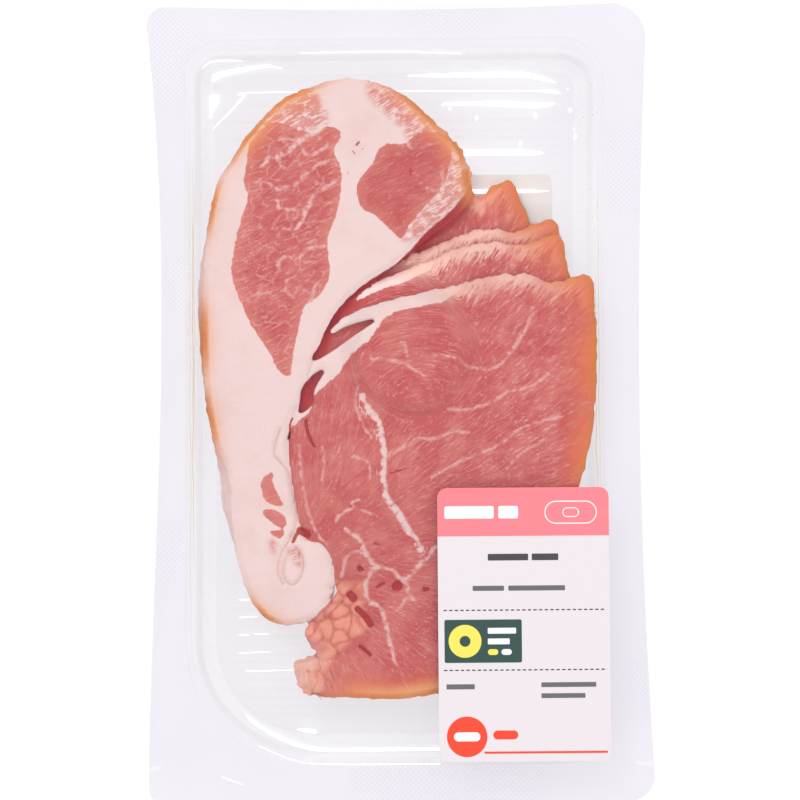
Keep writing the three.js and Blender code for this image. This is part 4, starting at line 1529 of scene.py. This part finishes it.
# Hollows, torn and bloody, and slits whose dark red is partly painted shade: half a width, then the points
PITS = (
    (1.5, ((-1.2, -57.9), (-0.8, -57.6))),
    (0.5, ((-7.2, -58.0), (-5.2, -56.8))),
    (1.0, ((-13.4, -64.9), (-11.2, -67.0), (-9.3, -69.8))),
    (0.55, ((-12.8, -76.5), (-11.4, -77.6), (-9.6, -79.4))),
    (0.6, ((7.4, -58.8), (8.6, -58.9))),
    (0.3, ((-8.3, -44.4), (-5.7, -45.0))),
    (0.8, ((-12.8, -52.1), (-12.2, -52.6))),
    (1.3, ((-15.6, -60.4), (-14.8, -61.4))),
    (0.25, ((-2.8, -22.5), (2.0, -21.2))),
    (0.2, ((5.2, -18.3), (7.1, -17.4))),
    (1.15, ((-31.2, -40.3), (-30.2, -40.8), (-28.9, -41.5))),
    (0.5, ((-31.9, -40.6), (-33.4, -43.8))),
    (0.5, ((-29.2, -5.8), (-28.9, -8.4), (-27.6, -12.2), (-26.6, -14.0))),
    (0.35, ((-33.4, -5.1), (-34.3, -7.1), (-34.0, -10.3))),
    (0.35, ((4.2, 73.2), (4.4, 71.4))),
    (0.3, ((-12.0, 81.7), (-12.8, 80.7))),
    (0.25, ((-13.9, 78.9), (-13.4, 78.2))),
    (0.2, ((-15.5, 72.6), (-15.6, 71.7))),
    (0.15, ((-16.7, 87.2), (-16.6, 86.9))),
    (0.2, ((-11.0, 79.8), (-10.6, 79.4))),
)
# Folds of the rolled end
FOLDS = (
    (
        (-34.6, -46.3), (-36.3, -51.4), (-36.2, -54.6), (-34.6, -56.9), (-32.7, -56.9), (-30.8, -54.0),
        (-30.1, -50.8), (-30.8, -47.6), (-32.7, -45.6),
    ),
    ((-33.4, -41.5), (-35.3, -44.4), (-37.2, -47.6), (-38.2, -51.4), (-37.9, -54.6), (-36.6, -57.2)),
    (
        (-34.0, -42.4), (-32.7, -38.6), (-32.4, -34.7), (-33.7, -28.3), (-34.6, -22.5), (-36.9, -19.3),
        (-39.1, -16.7), (-38.8, -12.9), (-37.2, -8.4),
    ),
)
# Torn lumps at the loin's lower left
TORN = (
    (-21.1, -53.4), (-17.3, -55.9), (-12.8, -54.6), (-9.6, -57.9), (-10.9, -63.6), (-8.3, -70.7),
    (-12.8, -74.6), (-19.0, -79.1), (-23.0, -86.0), (-25.0, -93.0), (-32.8, -92.6), (-35.0, -83.6),
    (-30.1, -79.7), (-24.0, -77.1), (-31.5, -73.9), (-29.6, -68.8), (-22.4, -63.0),
)
# Where the slices under the top one are lean between its two parts, with painted shade
UNDER_GAP = (
    (-42.0, -22.0), (-40.0, 0.0), (-36.0, 18.0), (-28.0, 32.0), (-16.0, 44.0), (0.0, 54.0), (10.0, 62.0),
    (20.0, 68.0), (30.0, 62.0), (20.0, 46.0), (0.0, 30.0), (-20.0, 10.0), (-28.0, -8.0), (-30.0, -24.0),
)
# Where the rim is smoked, and where it is toasted: x, y and reach
SMOKED_SPOTS = (
    (-47.0, 85.0, 13.0), (-34.0, 95.0, 12.0), (8.0, 91.0, 13.0), (18.0, 80.0, 9.0), (22.0, 70.0, 5.0),
    (-60.0, 62.0, 9.0), (-62.0, 20.0, 12.0), (-59.5, -5.0, 10.0), (-43.0, -68.0, 7.0),
    (59.5, 35.0, 11.0), (62.0, 12.0, 17.0), (60.0, -14.0, 15.0), (49.0, -45.0, 14.0), (36.0, -72.0, 13.0),
    (12.0, -92.0, 15.0), (-8.0, -94.0, 12.0),
)
TOASTED_SPOTS = ((4.0, -93.0, 13.0), (-8.0, -95.0, 9.0), (18.0, -90.0, 9.0))
# The torn lumps: their pitch, how far and over what length their borders bend, and the lower left
# corner of their grid with its columns and rows
LUMP_PITCH = 4.6
LUMP_BEND = 1.3
LUMP_BUMPS = 3.6
LUMP_BOX = (-38.0, -98.0, 10, 11)
# Where the loin's edge is pale and frayed: x, y and reach
PALE_SPOTS = ((20.0, 36.0, 11.0), (36.0, 41.0, 13.0), (53.0, 38.0, 9.0), (-30.0, -84.0, 8.0))
# Where the loin's fibres fan out from, and what they swirl round in one spot
FIBRE_HUB = (-33.0, -52.0)
SWIRL_HUB = (8.0, -8.0)
SWIRL_SPOTS = ((4.0, 16.0, 22.0),)


def lump_gaps(place: np.ndarray) -> tuple[np.ndarray, np.ndarray]:
    """The distances from each point to the nearest and to the second nearest torn lump's middle."""
    chance = np.random.default_rng(5)
    left, bottom, across, along = LUMP_BOX
    grid = np.array([(i + 0.5 * (j % 2), j) for i in range(across) for j in range(along)], float)
    middles = np.array([left, bottom]) + (grid + chance.uniform(-0.5, 0.5, grid.shape)) * LUMP_PITCH
    nearest = np.full(len(place), np.inf)
    second = nearest.copy()
    bend = LUMP_BEND * np.column_stack([rough(place, LUMP_BUMPS, seed) for seed in (31.0, 33.0)])
    for x, y in middles:
        gap = np.hypot(place[:, 0] + bend[:, 0] - x, place[:, 1] + bend[:, 1] - y)
        second = np.minimum(second, np.maximum(nearest, gap))
        nearest = np.minimum(nearest, gap)
    return nearest, second


@dataclass
class BaconSlice:
    """One slice of the fan: its solid's shape, roughened, with the places of its lean and fat."""

    node: str
    turn: float = 0.0
    loin_shift: Point = (0.0, 0.0)
    peek: float = 0.0
    seed: float = 0.0
    voxel: float = 0.65
    rolled: bool = False
    edge_wander: float = 0.55
    edge_depth: float = 2.5
    edge_swell: float = 0.4
    round_over: float = 0.55
    relief: float = 0.16
    lump_rise: float = 1.5
    lump_dip: float = 1.0
    lump_reach: float = 3.3
    frill_rise: float = 0.7
    pit_depth: float = 0.9
    roll_rise: float = 0.6
    roll_spots: tuple[tuple[float, float, float], ...] = ((-31.0, -55.0, 9.0),)
    fold_swell: float = 0.35
    fold_swell_reach: float = 2.6
    fold_depth: float = 0.85
    fold_reach: float = 0.75
    grain_step: float = 37.0
    wander_step: float = 11.0
    # Painted light: how strongly the fat in the gap glows
    painted_gap_glow: float = 0.3

    def build(self, finish: bpy.types.Material) -> bpy.types.Object:
        """Models the slice, stores what its finish reads, and returns it.

        Args:
            finish: The meat's material, which all slices share.
        """
        piece = self.copied()
        points = read_points(piece)
        fat_place, loin_place = self.unstacked(points)
        fat_depth = depth_inside(fat_place, smooth_path(FAT_LOBE))
        loin_depth = depth_inside(loin_place, smooth_path(LOIN_LOBE))
        on_fat = (fat_depth > 0) | (fat_depth > loin_depth)
        place = np.where(on_fat[:, None], fat_place, loin_place)
        rim = np.maximum(fat_depth, loin_depth)
        write_attribute(piece, "lobe", np.where(fat_depth > loin_depth, fat_depth + 0.6, fat_depth))
        write_attribute(piece, "rim", rim)
        self.store_lean(piece, points, fat_place, loin_place, loin_depth)
        self.store_details(piece, place, on_fat)
        write_points(piece, self.roughened(points, place, on_fat, rim, read_normals(piece)))
        smooth(piece, 180.0)
        hand_over(piece, finish, "bacon", self.node)
        return piece

    def copied(self) -> bpy.types.Object:
        """A fine mesh of the slice's solid, as a new piece."""
        start_clean()
        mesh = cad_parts[self.node].data.copy()
        piece = bpy.data.objects.new(self.node.replace("slice", "bacon_slice"), mesh)
        bpy.context.scene.collection.objects.link(piece)
        edit(piece, lambda: bpy.ops.mesh.remove_doubles(threshold=1e-6))
        apply_modifier(piece, "REMESH", mode="VOXEL", voxel_size=self.voxel * MM)
        apply_modifier(piece, "SMOOTH", factor=0.5, iterations=3)
        return piece

    def unstacked(self, points: np.ndarray) -> tuple[np.ndarray, np.ndarray]:
        """The same points as they would lie on the top slice, as part of each lobe."""
        fat = points.copy()
        for x, y, reach, dx, dy in PEEKS:
            share = self.peek * np.exp(-((points[:, 0] - x) ** 2 + (points[:, 1] - y) ** 2) / reach**2)
            fat[:, 0] -= share * dx
            fat[:, 1] -= share * dy
        back = math.radians(-self.turn)
        offset = points[:, :2] - np.array(self.loin_shift) - np.array(FAN_PIVOT)
        loin = points.copy()
        loin[:, 0] = offset[:, 0] * math.cos(back) - offset[:, 1] * math.sin(back) + FAN_PIVOT[0]
        loin[:, 1] = offset[:, 0] * math.sin(back) + offset[:, 1] * math.cos(back) + FAN_PIVOT[1]
        return fat, loin

    def store_lean(
        self,
        piece: bpy.types.Object,
        points: np.ndarray,
        fat_place: np.ndarray,
        loin_place: np.ndarray,
        loin_depth: np.ndarray,
    ) -> None:
        """Stores how far in the lean each vertex lies, for both lobes, and the gap's painted shade and
        painted light.

        Args:
            piece: The slice.
            points: Its vertices.
            fat_place: The same as part of the top slice's fat lobe.
            loin_place: The same as part of the top slice's loin.
            loin_depth: How far each is inside the loin's edge.
        """
        lean = np.full(len(points), -np.inf)
        for patch in LEAN_PATCHES:
            lean = np.maximum(lean, depth_inside(fat_place, smooth_path(patch, steps=4)))
        beside_band = -depth_inside(loin_place, smooth_path(FAT_BAND, steps=4))
        painted_gap_light = np.zeros(len(points))
        if not self.rolled:
            under_gap = depth_inside(points, smooth_path(UNDER_GAP, steps=4))
            lean = np.maximum(lean, under_gap)
            beyond = -depth_inside(points, smooth_path(FAT_LOBE))
            band = 2.8 if self.peek < 2.0 else 1.3
            beside_band = np.maximum(beside_band, np.maximum(loin_depth - band, 2.2 - beyond))
            # Painted shade: the lower slices' lean darkens beside the top slice's fat lobe and all over the
            # gap
            gap_shade_and_head_tone = (1 - smoothstep(1.5, 5.0, beyond)) * smoothstep(0.0, 2.0, under_gap) * 0.7
            gap_shade_and_head_tone += 0.25 * smoothstep(0.0, 2.0, under_gap)
            # Painted light, strongest beside the top slice's fat lobe
            beside = (1 - smoothstep(4.0, 17.0, beyond)) * smoothstep(-45.0, -35.0, points[:, 0])
            painted_gap_light = self.painted_gap_glow * beside
        else:
            # The top slice's head muscle is a little darker in its own colour
            gap_shade_and_head_tone = 0.16 * smoothstep(-1.0, 1.5, depth_inside(fat_place, smooth_path(HEAD_MUSCLE, steps=4)))
        net = smoothstep(-1.0, 1.0, depth_inside(fat_place, smooth_path(EYE_MUSCLE, steps=4)))
        write_attribute(piece, "net", 0.2 + 0.8 * net)
        write_attribute(piece, "lean_fat", lean)
        write_attribute(piece, "lean_loin", beside_band)
        write_attribute(piece, "gap_shade_and_head_tone", gap_shade_and_head_tone)
        write_attribute(piece, "painted_gap_light", painted_gap_light)

    def store_details(self, piece: bpy.types.Object, place: np.ndarray, on_fat: np.ndarray) -> None:
        """Stores the places of seams, hollows, folds, edges and fibres for the finish.

        Args:
            piece: The slice.
            place: Each vertex as it would lie on the top slice.
            on_fat: Which vertices are on the fat lobe.
        """
        ways, widths = self.ways_to(place, SEAMS)
        write_attribute(piece, "vein", ways)
        write_attribute(piece, "vein_width", widths)
        frost = np.zeros(len(place))
        for zone in FROSTED:
            frost = np.maximum(frost, smoothstep(-1.5, 1.5, depth_inside(place, smooth_path(zone, steps=3))))
        write_attribute(piece, "frost", frost)
        hollows, widths = self.ways_to(place, PITS)
        write_attribute(piece, "pit", hollows[:, 2] - widths)
        folds, _ = self.ways_to(place, tuple((0.0, line) for line in FOLDS) if self.rolled else ())
        write_attribute(piece, "fold", folds)
        write_attribute(piece, "lump", smoothstep(-0.5, 2.5, depth_inside(place, smooth_path(TORN, steps=3))))
        nearest, second = lump_gaps(place)
        write_attribute(piece, "cleft", 1 - smoothstep(0.1, 1.5, second - nearest))
        write_attribute(piece, "smoke", bell(place, SMOKED_SPOTS))
        write_attribute(piece, "toast", bell(place, TOASTED_SPOTS))
        pale = bell(place, PALE_SPOTS) * (1.0 if self.rolled else 1.4)
        write_attribute(piece, "pale", np.where(on_fat, 0.0, pale))
        shifted = place + np.array([0.0, 0.0, self.grain_step * self.seed])
        write_attribute(piece, "grain", shifted)
        write_attribute(piece, "fibre", self.fibres(shifted, on_fat))

    def ways_to(self, place: np.ndarray, lines: tuple) -> tuple[np.ndarray, np.ndarray]:
        """The way in plan from each point to the nearest of several lines.

        Args:
            place: The points.
            lines: Half a width and the points of each line.

        Returns:
            The way along x, along y and its length, and half the width of the line that it leads to.
        """
        ways = np.full((len(place), 3), FAR)
        widths = np.zeros(len(place))
        nearest = np.full(len(place), np.inf)
        for half_width, line in lines:
            path = smooth_path(line, closed=False, steps=3)
            for start, end in zip(path, path[1:]):
                gap = way_to_edge(place, start, end)
                length = np.hypot(gap[:, 0], gap[:, 1])
                closer = length - half_width < nearest
                nearest = np.where(closer, length - half_width, nearest)
                ways = np.where(closer[:, None], np.column_stack([gap, length]), ways)
                widths = np.where(closer, half_width, widths)
        return ways, widths

    def fibres(self, place: np.ndarray, on_fat: np.ndarray) -> np.ndarray:
        """Each vertex's place across and along the fibres of its muscle, and a depth."""
        fan = place[:, :2] - np.array(FIBRE_HUB)
        fan_reach = np.hypot(fan[:, 0], fan[:, 1])
        fan_angle = np.arctan2(fan[:, 1], fan[:, 0])
        swirl = place[:, :2] - np.array(SWIRL_HUB)
        swirl_reach = np.hypot(swirl[:, 0], swirl[:, 1])
        swirl_angle = np.arctan2(swirl[:, 1], swirl[:, 0])
        share = smoothstep(0.35, 0.6, bell(place, SWIRL_SPOTS))
        across = (1 - share) * fan_angle * 60.0 + share * swirl_reach
        along = (1 - share) * fan_reach + share * swirl_angle * 20.0
        slant = math.radians(27.0)
        across = np.where(on_fat, place[:, 1] * math.cos(slant) - place[:, 0] * math.sin(slant), across)
        along = np.where(on_fat, place[:, 0] * math.cos(slant) + place[:, 1] * math.sin(slant), along)
        return np.stack([across, along, place[:, 2]], axis=1)

    def roughened(
        self, points: np.ndarray, place: np.ndarray, on_fat: np.ndarray, rim: np.ndarray, normals: np.ndarray
    ) -> np.ndarray:
        """Moves the vertices: outlines, ragged edges, rounded rims, hollows, folds and lumps.

        Args:
            points: The vertices.
            place: The same on the top slice.
            on_fat: Which are on the fat lobe.
            rim: How far each is inside the edge.
            normals: The vertex normals.

        Returns:
            The moved vertices.
        """
        moved = points.copy()
        keyed = place + np.array([0.0, 0.0, self.wander_step * self.seed])
        near_edge = 1 - smoothstep(0.0, self.edge_depth, rim)
        torn = smoothstep(-2.5, 1.0, depth_inside(place, smooth_path(TORN, steps=3)))
        frill = np.where(on_fat, 0.0, bell(place, PALE_SPOTS))
        flat = normals.copy()
        flat[:, 2] = 0.0
        wander = rough(keyed, 3.2, 3.0) * 0.7 + rough(keyed, 1.2, 5.0) * 0.5
        wilder = 1 + 1.5 * torn + 1.5 * frill + np.where(on_fat, 1.6 * bell(place, RAGGED_SPOTS), 0.0)
        moved += flat * ((self.edge_wander * wander * wilder + self.edge_swell) * near_edge)[:, None]
        for bulges, where in ((FAT_BULGES, on_fat), (LOIN_BULGES, ~on_fat)):
            for x, y, reach, dx, dy in bulges:
                share = where * np.exp(-((place[:, 0] - x) ** 2 + (place[:, 1] - y) ** 2) / reach**2)
                moved[:, :2] += share[:, None] * np.array([dx, dy])
        up = smoothstep(0.2, 0.7, normals[:, 2])
        height = self.relief * (rough(keyed, 6.0, 7.0) + 0.6 * rough(keyed, 1.8, 9.0))
        nearest, _ = lump_gaps(place)
        lump = np.sqrt(np.clip(1 - (nearest / self.lump_reach) ** 2, 0.0, 1.0))
        height += torn * (self.lump_rise * lump - self.lump_dip)
        frilly = 1 - smoothstep(0.0, 5.0, rim + 2.0 * rough(keyed, 4.0, 21.0))
        height += self.frill_rise * frill * frilly * (0.3 + rough(keyed, 2.4, 15.0))
        height -= self.round_over * (1 - smoothstep(0.0, 1.5, rim))
        hollows, widths = self.ways_to(place, PITS)
        hollow = (1 - smoothstep(-0.2, 0.6, hollows[:, 2] - widths)) * smoothstep(0.3, 0.6, widths)
        height -= self.pit_depth * hollow
        if self.rolled:
            height += self.folds(place) * on_fat
        if self.peek:
            height = np.minimum(height, 0.1)
        moved[:, 2] += up * height
        return moved

    def folds(self, place: np.ndarray) -> np.ndarray:
        """The grooves between the folds of the rolled end, with the fat swelling beside them."""
        height = self.roll_rise * bell(place, self.roll_spots)
        for fold in FOLDS:
            gap = distance_to(place, smooth_path(fold, closed=False, steps=4), closed=False)
            height += self.fold_swell * np.exp(-((gap / self.fold_swell_reach) ** 2))
            height -= self.fold_depth * np.exp(-((gap / self.fold_reach) ** 2))
        return height


class Side(Enum):
    """The tray's long walls, by the way that leads inwards along x."""

    LEFT = 1
    RIGHT = -1


@dataclass
class Moisture:
    """Droplets under the film, dried juice along the tray's walls, and a dark flap of painted shade in a
    narrow gap.
    """

    drops: tuple[tuple[float, float, float], ...] = (
        (16.8, 91.9, 0.7), (25.1, 88.9, 0.9), (43.6, 89.4, 1.0), (54.6, 91.2, 1.0), (56.0, 82.7, 0.9),
        (38.9, 80.8, 0.9), (55.8, 85.2, 0.5), (53.9, 97.9, 0.5), (24.8, 93.3, 0.4),
    )
    mist: tuple[tuple[float, float, float, float, int], ...] = (
        (49.0, 107.0, 5.5, 2.2, 44),
        (20.0, 110.0, 14.0, 1.2, 12),
        (-58.0, -80.0, 6.0, 9.0, 6),
    )
    mist_sizes: Point = (0.1, 0.24)
    specks: tuple[tuple[float, float, float], ...] = (
        (61.3, 98.8, 0.3), (57.9, 95.8, 0.28), (61.7, 91.9, 0.3), (61.7, 89.6, 0.34), (58.8, 89.0, 0.26),
        (63.1, 90.1, 0.26), (61.1, 77.2, 0.32), (62.4, 76.3, 0.26), (60.9, 66.2, 0.22), (60.5, 64.3, 0.22),
        (59.2, 60.0, 0.24), (61.2, 57.3, 0.26), (61.9, 53.2, 0.24), (61.9, 49.3, 0.26), (-57.3, -34.7, 0.5),
    )
    seed: int = 7
    # The dark flap that paints the shade in a narrow gap: x, y and height
    flap: tuple[float, float, float] = (-34.4, -9.8, 11.9)
    drip: tuple[tuple[float, float, float, float], ...] = (
        (-26.4, -90.6, 4.5, 0.1),
        (-26.0, -91.6, 4.0, 0.45),
        (-25.6, -92.6, 3.2, 0.3),
        (-25.3, -93.8, 2.6, 0.1),
    )

    def build(self) -> None:
        """Models and dresses the droplets, the juice and the dark flap of painted shade."""
        # The droplets glow a little: painted light that keeps them bright
        water = PlainFinish("water", (0.95, 0.95, 0.98), 0.04, alpha=0.17, glow=0.6)
        hand_over(self.droplets(), water.material(), "lid_film")
        # The dried juice glows a little: painted light
        juice = PlainFinish("dried_juice", (0.80, 0.66, 0.46), 0.35, alpha=0.45, glow=0.2)
        hand_over(self.juice(), juice.material(), "bacon")
        # Painted shade: a dark flap in a narrow gap of the top slice
        shade = PlainFinish("shaded_lean", (0.36, 0.02, 0.016), 0.5)
        x, y, z = self.flap
        hand_over(self.drop("shaded_flap", x, y, 1.6, (1.0, 2.3, 0.3), z), shade.material(), "bacon")

    def droplets(self) -> bpy.types.Object:
        """Small flattened drops that hang under the film."""
        chance = np.random.default_rng(self.seed)
        drops = [self.drop("droplets", x, y, size, (0.9, 1.25, 0.3)) for x, y, size in self.drops]
        for x, y, across, along, count in self.mist:
            for _ in range(count):
                at_x, at_y = x + chance.normal(0, across), y + chance.normal(0, along)
                size = chance.uniform(*self.mist_sizes)
                if depth_inside(np.array([[at_x, at_y]]), MOUTH.loop())[0] > 2.0:
                    drops.append(self.drop("droplets", at_x, at_y, size, (1.0, 1.15, 0.4)))
        return join(drops)

    def drop(
        self,
        name: str,
        x: float,
        y: float,
        size: float,
        shape: tuple[float, float, float],
        z: float | None = None,
    ) -> bpy.types.Object:
        """One flattened drop.

        Args:
            name: The piece's name.
            x: Its middle along x.
            y: Its middle along y.
            size: Its radius.
            shape: How far it is stretched along each axis.
            z: Its height, or None for one that hangs under the film.
        """
        start_clean()
        if z is None:
            z = FILM_UNDERSIDE + float(film_height(np.array([x]), np.array([y]))[0]) - size * shape[2] - 0.06
        middle = (x * MM, y * MM, z * MM)
        bpy.ops.mesh.primitive_ico_sphere_add(subdivisions=2, radius=size * MM, location=middle)
        piece = added(name)
        piece.scale = shape
        bpy.ops.object.transform_apply(location=True, rotation=True, scale=True)
        bpy.ops.object.shade_smooth()
        return piece

    def juice(self) -> bpy.types.Object:
        """Thin wavy lines and specks of juice on the long walls, and a drip at the loin's tail."""
        pieces = [
            self.wall_line(Side.LEFT, -70.0, 78.0, 0.10, 11.0, 1.0),
            self.wall_line(Side.LEFT, -52.0, 66.0, 0.16, 6.5, 2.0),
            self.wall_line(Side.LEFT, -20.0, 80.0, 0.12, 3.5, 3.0),
            self.wall_line(Side.RIGHT, -30.0, 76.0, 0.09, 10.0, 4.0),
            self.wall_line(Side.RIGHT, -34.0, 40.0, 0.12, 5.0, 5.0),
            thread("dried_juice", np.array(self.drip)),
        ]
        pieces += [self.drop("dried_juice", x, y, size, (0.8, 1.2, 0.4)) for x, y, size in self.specks]
        return join(pieces)

    def wall_line(
        self, side: Side, low: float, high: float, radius: float, level: float, seed: float
    ) -> bpy.types.Object:
        """A thin wavy tube that lies on a long wall.

        Args:
            side: The wall.
            low: Its lower end along y.
            high: Its upper end along y.
            radius: Its radius.
            level: Its mean height.
            seed: Which way it wanders.
        """
        along = np.linspace(0.0, 1.0, 121)
        y = low + (high - low) * along
        keys = np.stack([y, np.full_like(y, seed * 9.0), np.zeros_like(y)], axis=1)
        z = level + 2.0 * rough(keys, 14.0, seed) + 0.6 * rough(keys, 4.0, seed + 2)
        _, wall = MOUTH.flank(side is Side.RIGHT)
        inset = WALL_DRAFT * (TRAY_TOP - z) / TRAY_TOP + radius
        x = np.interp(y, wall[:, 1], wall[:, 0]) + inset * side.value
        thick = radius * np.clip(4 * np.minimum(along, 1 - along), 0.02, 1.0) ** 0.5
        return thread("dried_juice", np.column_stack([x, y, z, thick]), sides=6)


@dataclass
class Studio:
    """The pale floor, the soft lights and the camera straight above the pack."""

    floor_size: float = 4.0
    distance: float = 0.86
    tilt: float = 3.0
    roll: float = -0.45
    aim: tuple[float, float, float] = (0.0, 0.0005, 0.012)
    view_width: float = 0.2515
    sensor: float = 36.0

    def build(self) -> None:
        """Sets up the floor, the lights, the camera and the plain colour handling."""
        start_clean()
        bpy.ops.mesh.primitive_plane_add(size=self.floor_size)
        floor = added("floor")
        pale = PlainFinish("pale_floor", (0.28, 0.28, 0.282), 0.8, glow=2.5)
        floor.data.materials.append(pale.material())
        self.lamp("key_light", (-0.55, 0.75, 1.25), 0.45, 5.0)
        self.lamp("fill_light", (0.8, -0.5, 1.2), 1.2, 2.2)
        self.lamp("head_light", (0.1, 1.3, 0.55), 0.5, 1.6)
        self.sky()
        self.camera()
        bpy.context.scene.view_settings.view_transform = "Standard"
        LOG.info("studio: floor, lights and camera")

    def lamp(self, name: str, place: tuple[float, float, float], size: float, power: float) -> None:
        """Adds a square soft light that faces the pack."""
        bpy.ops.object.light_add(type="AREA", location=place)
        lamp = bpy.context.object
        lamp.name = name
        lamp.data.size = size
        lamp.data.energy = power
        lamp.rotation_mode = "QUATERNION"
        lamp.rotation_quaternion = (-Vector(place)).to_track_quat("-Z", "Y")

    def sky(self) -> None:
        """A plain white surrounding light."""
        world = bpy.data.worlds.new("studio_sky")
        world.use_nodes = True
        background = world.node_tree.nodes["Background"]
        background.inputs[0].default_value = (1.0, 1.0, 1.0, 1.0)
        background.inputs[1].default_value = 1.0
        bpy.context.scene.world = world

    def camera(self) -> None:
        """Places the camera above the pack, a little towards its foot."""
        tilt = math.radians(self.tilt)
        back = Vector((0.0, -math.sin(tilt), math.cos(tilt)))
        bpy.ops.object.camera_add(location=Vector(self.aim) + back * self.distance)
        camera = bpy.context.object
        camera.data.sensor_width = self.sensor
        camera.data.lens = self.sensor * self.distance / self.view_width
        camera.rotation_mode = "XYZ"
        camera.rotation_euler = (tilt, 0.0, math.radians(self.roll))
        bpy.context.scene.camera = camera


def main() -> None:
    """Builds the pack and its surroundings."""
    logging.basicConfig(level=logging.INFO, format="%(name)s: %(message)s")
    Studio().build()
    tray = FormedTray()
    tray.build()
    Glints().build(tray)
    LidFilm().build()
    FilmLabel().build()
    FloorLabel().dress()
    meat = CuredMeat().material()
    for bacon in (
        BaconSlice("slice_1", rolled=True),
        BaconSlice("slice_2", turn=8.3, loin_shift=(1.3, 1.3), peek=1.3, seed=1.0, voxel=1.0),
        BaconSlice("slice_3", turn=10.5, loin_shift=(3.1, 3.3), peek=2.5, seed=2.0, voxel=1.0),
        BaconSlice("slice_4", turn=19.4, loin_shift=(3.7, 5.5), peek=3.7, seed=3.0, voxel=1.0),
    ):
        bacon.build(meat)
    Moisture().build()


if __name__ == "__main__":
    main()
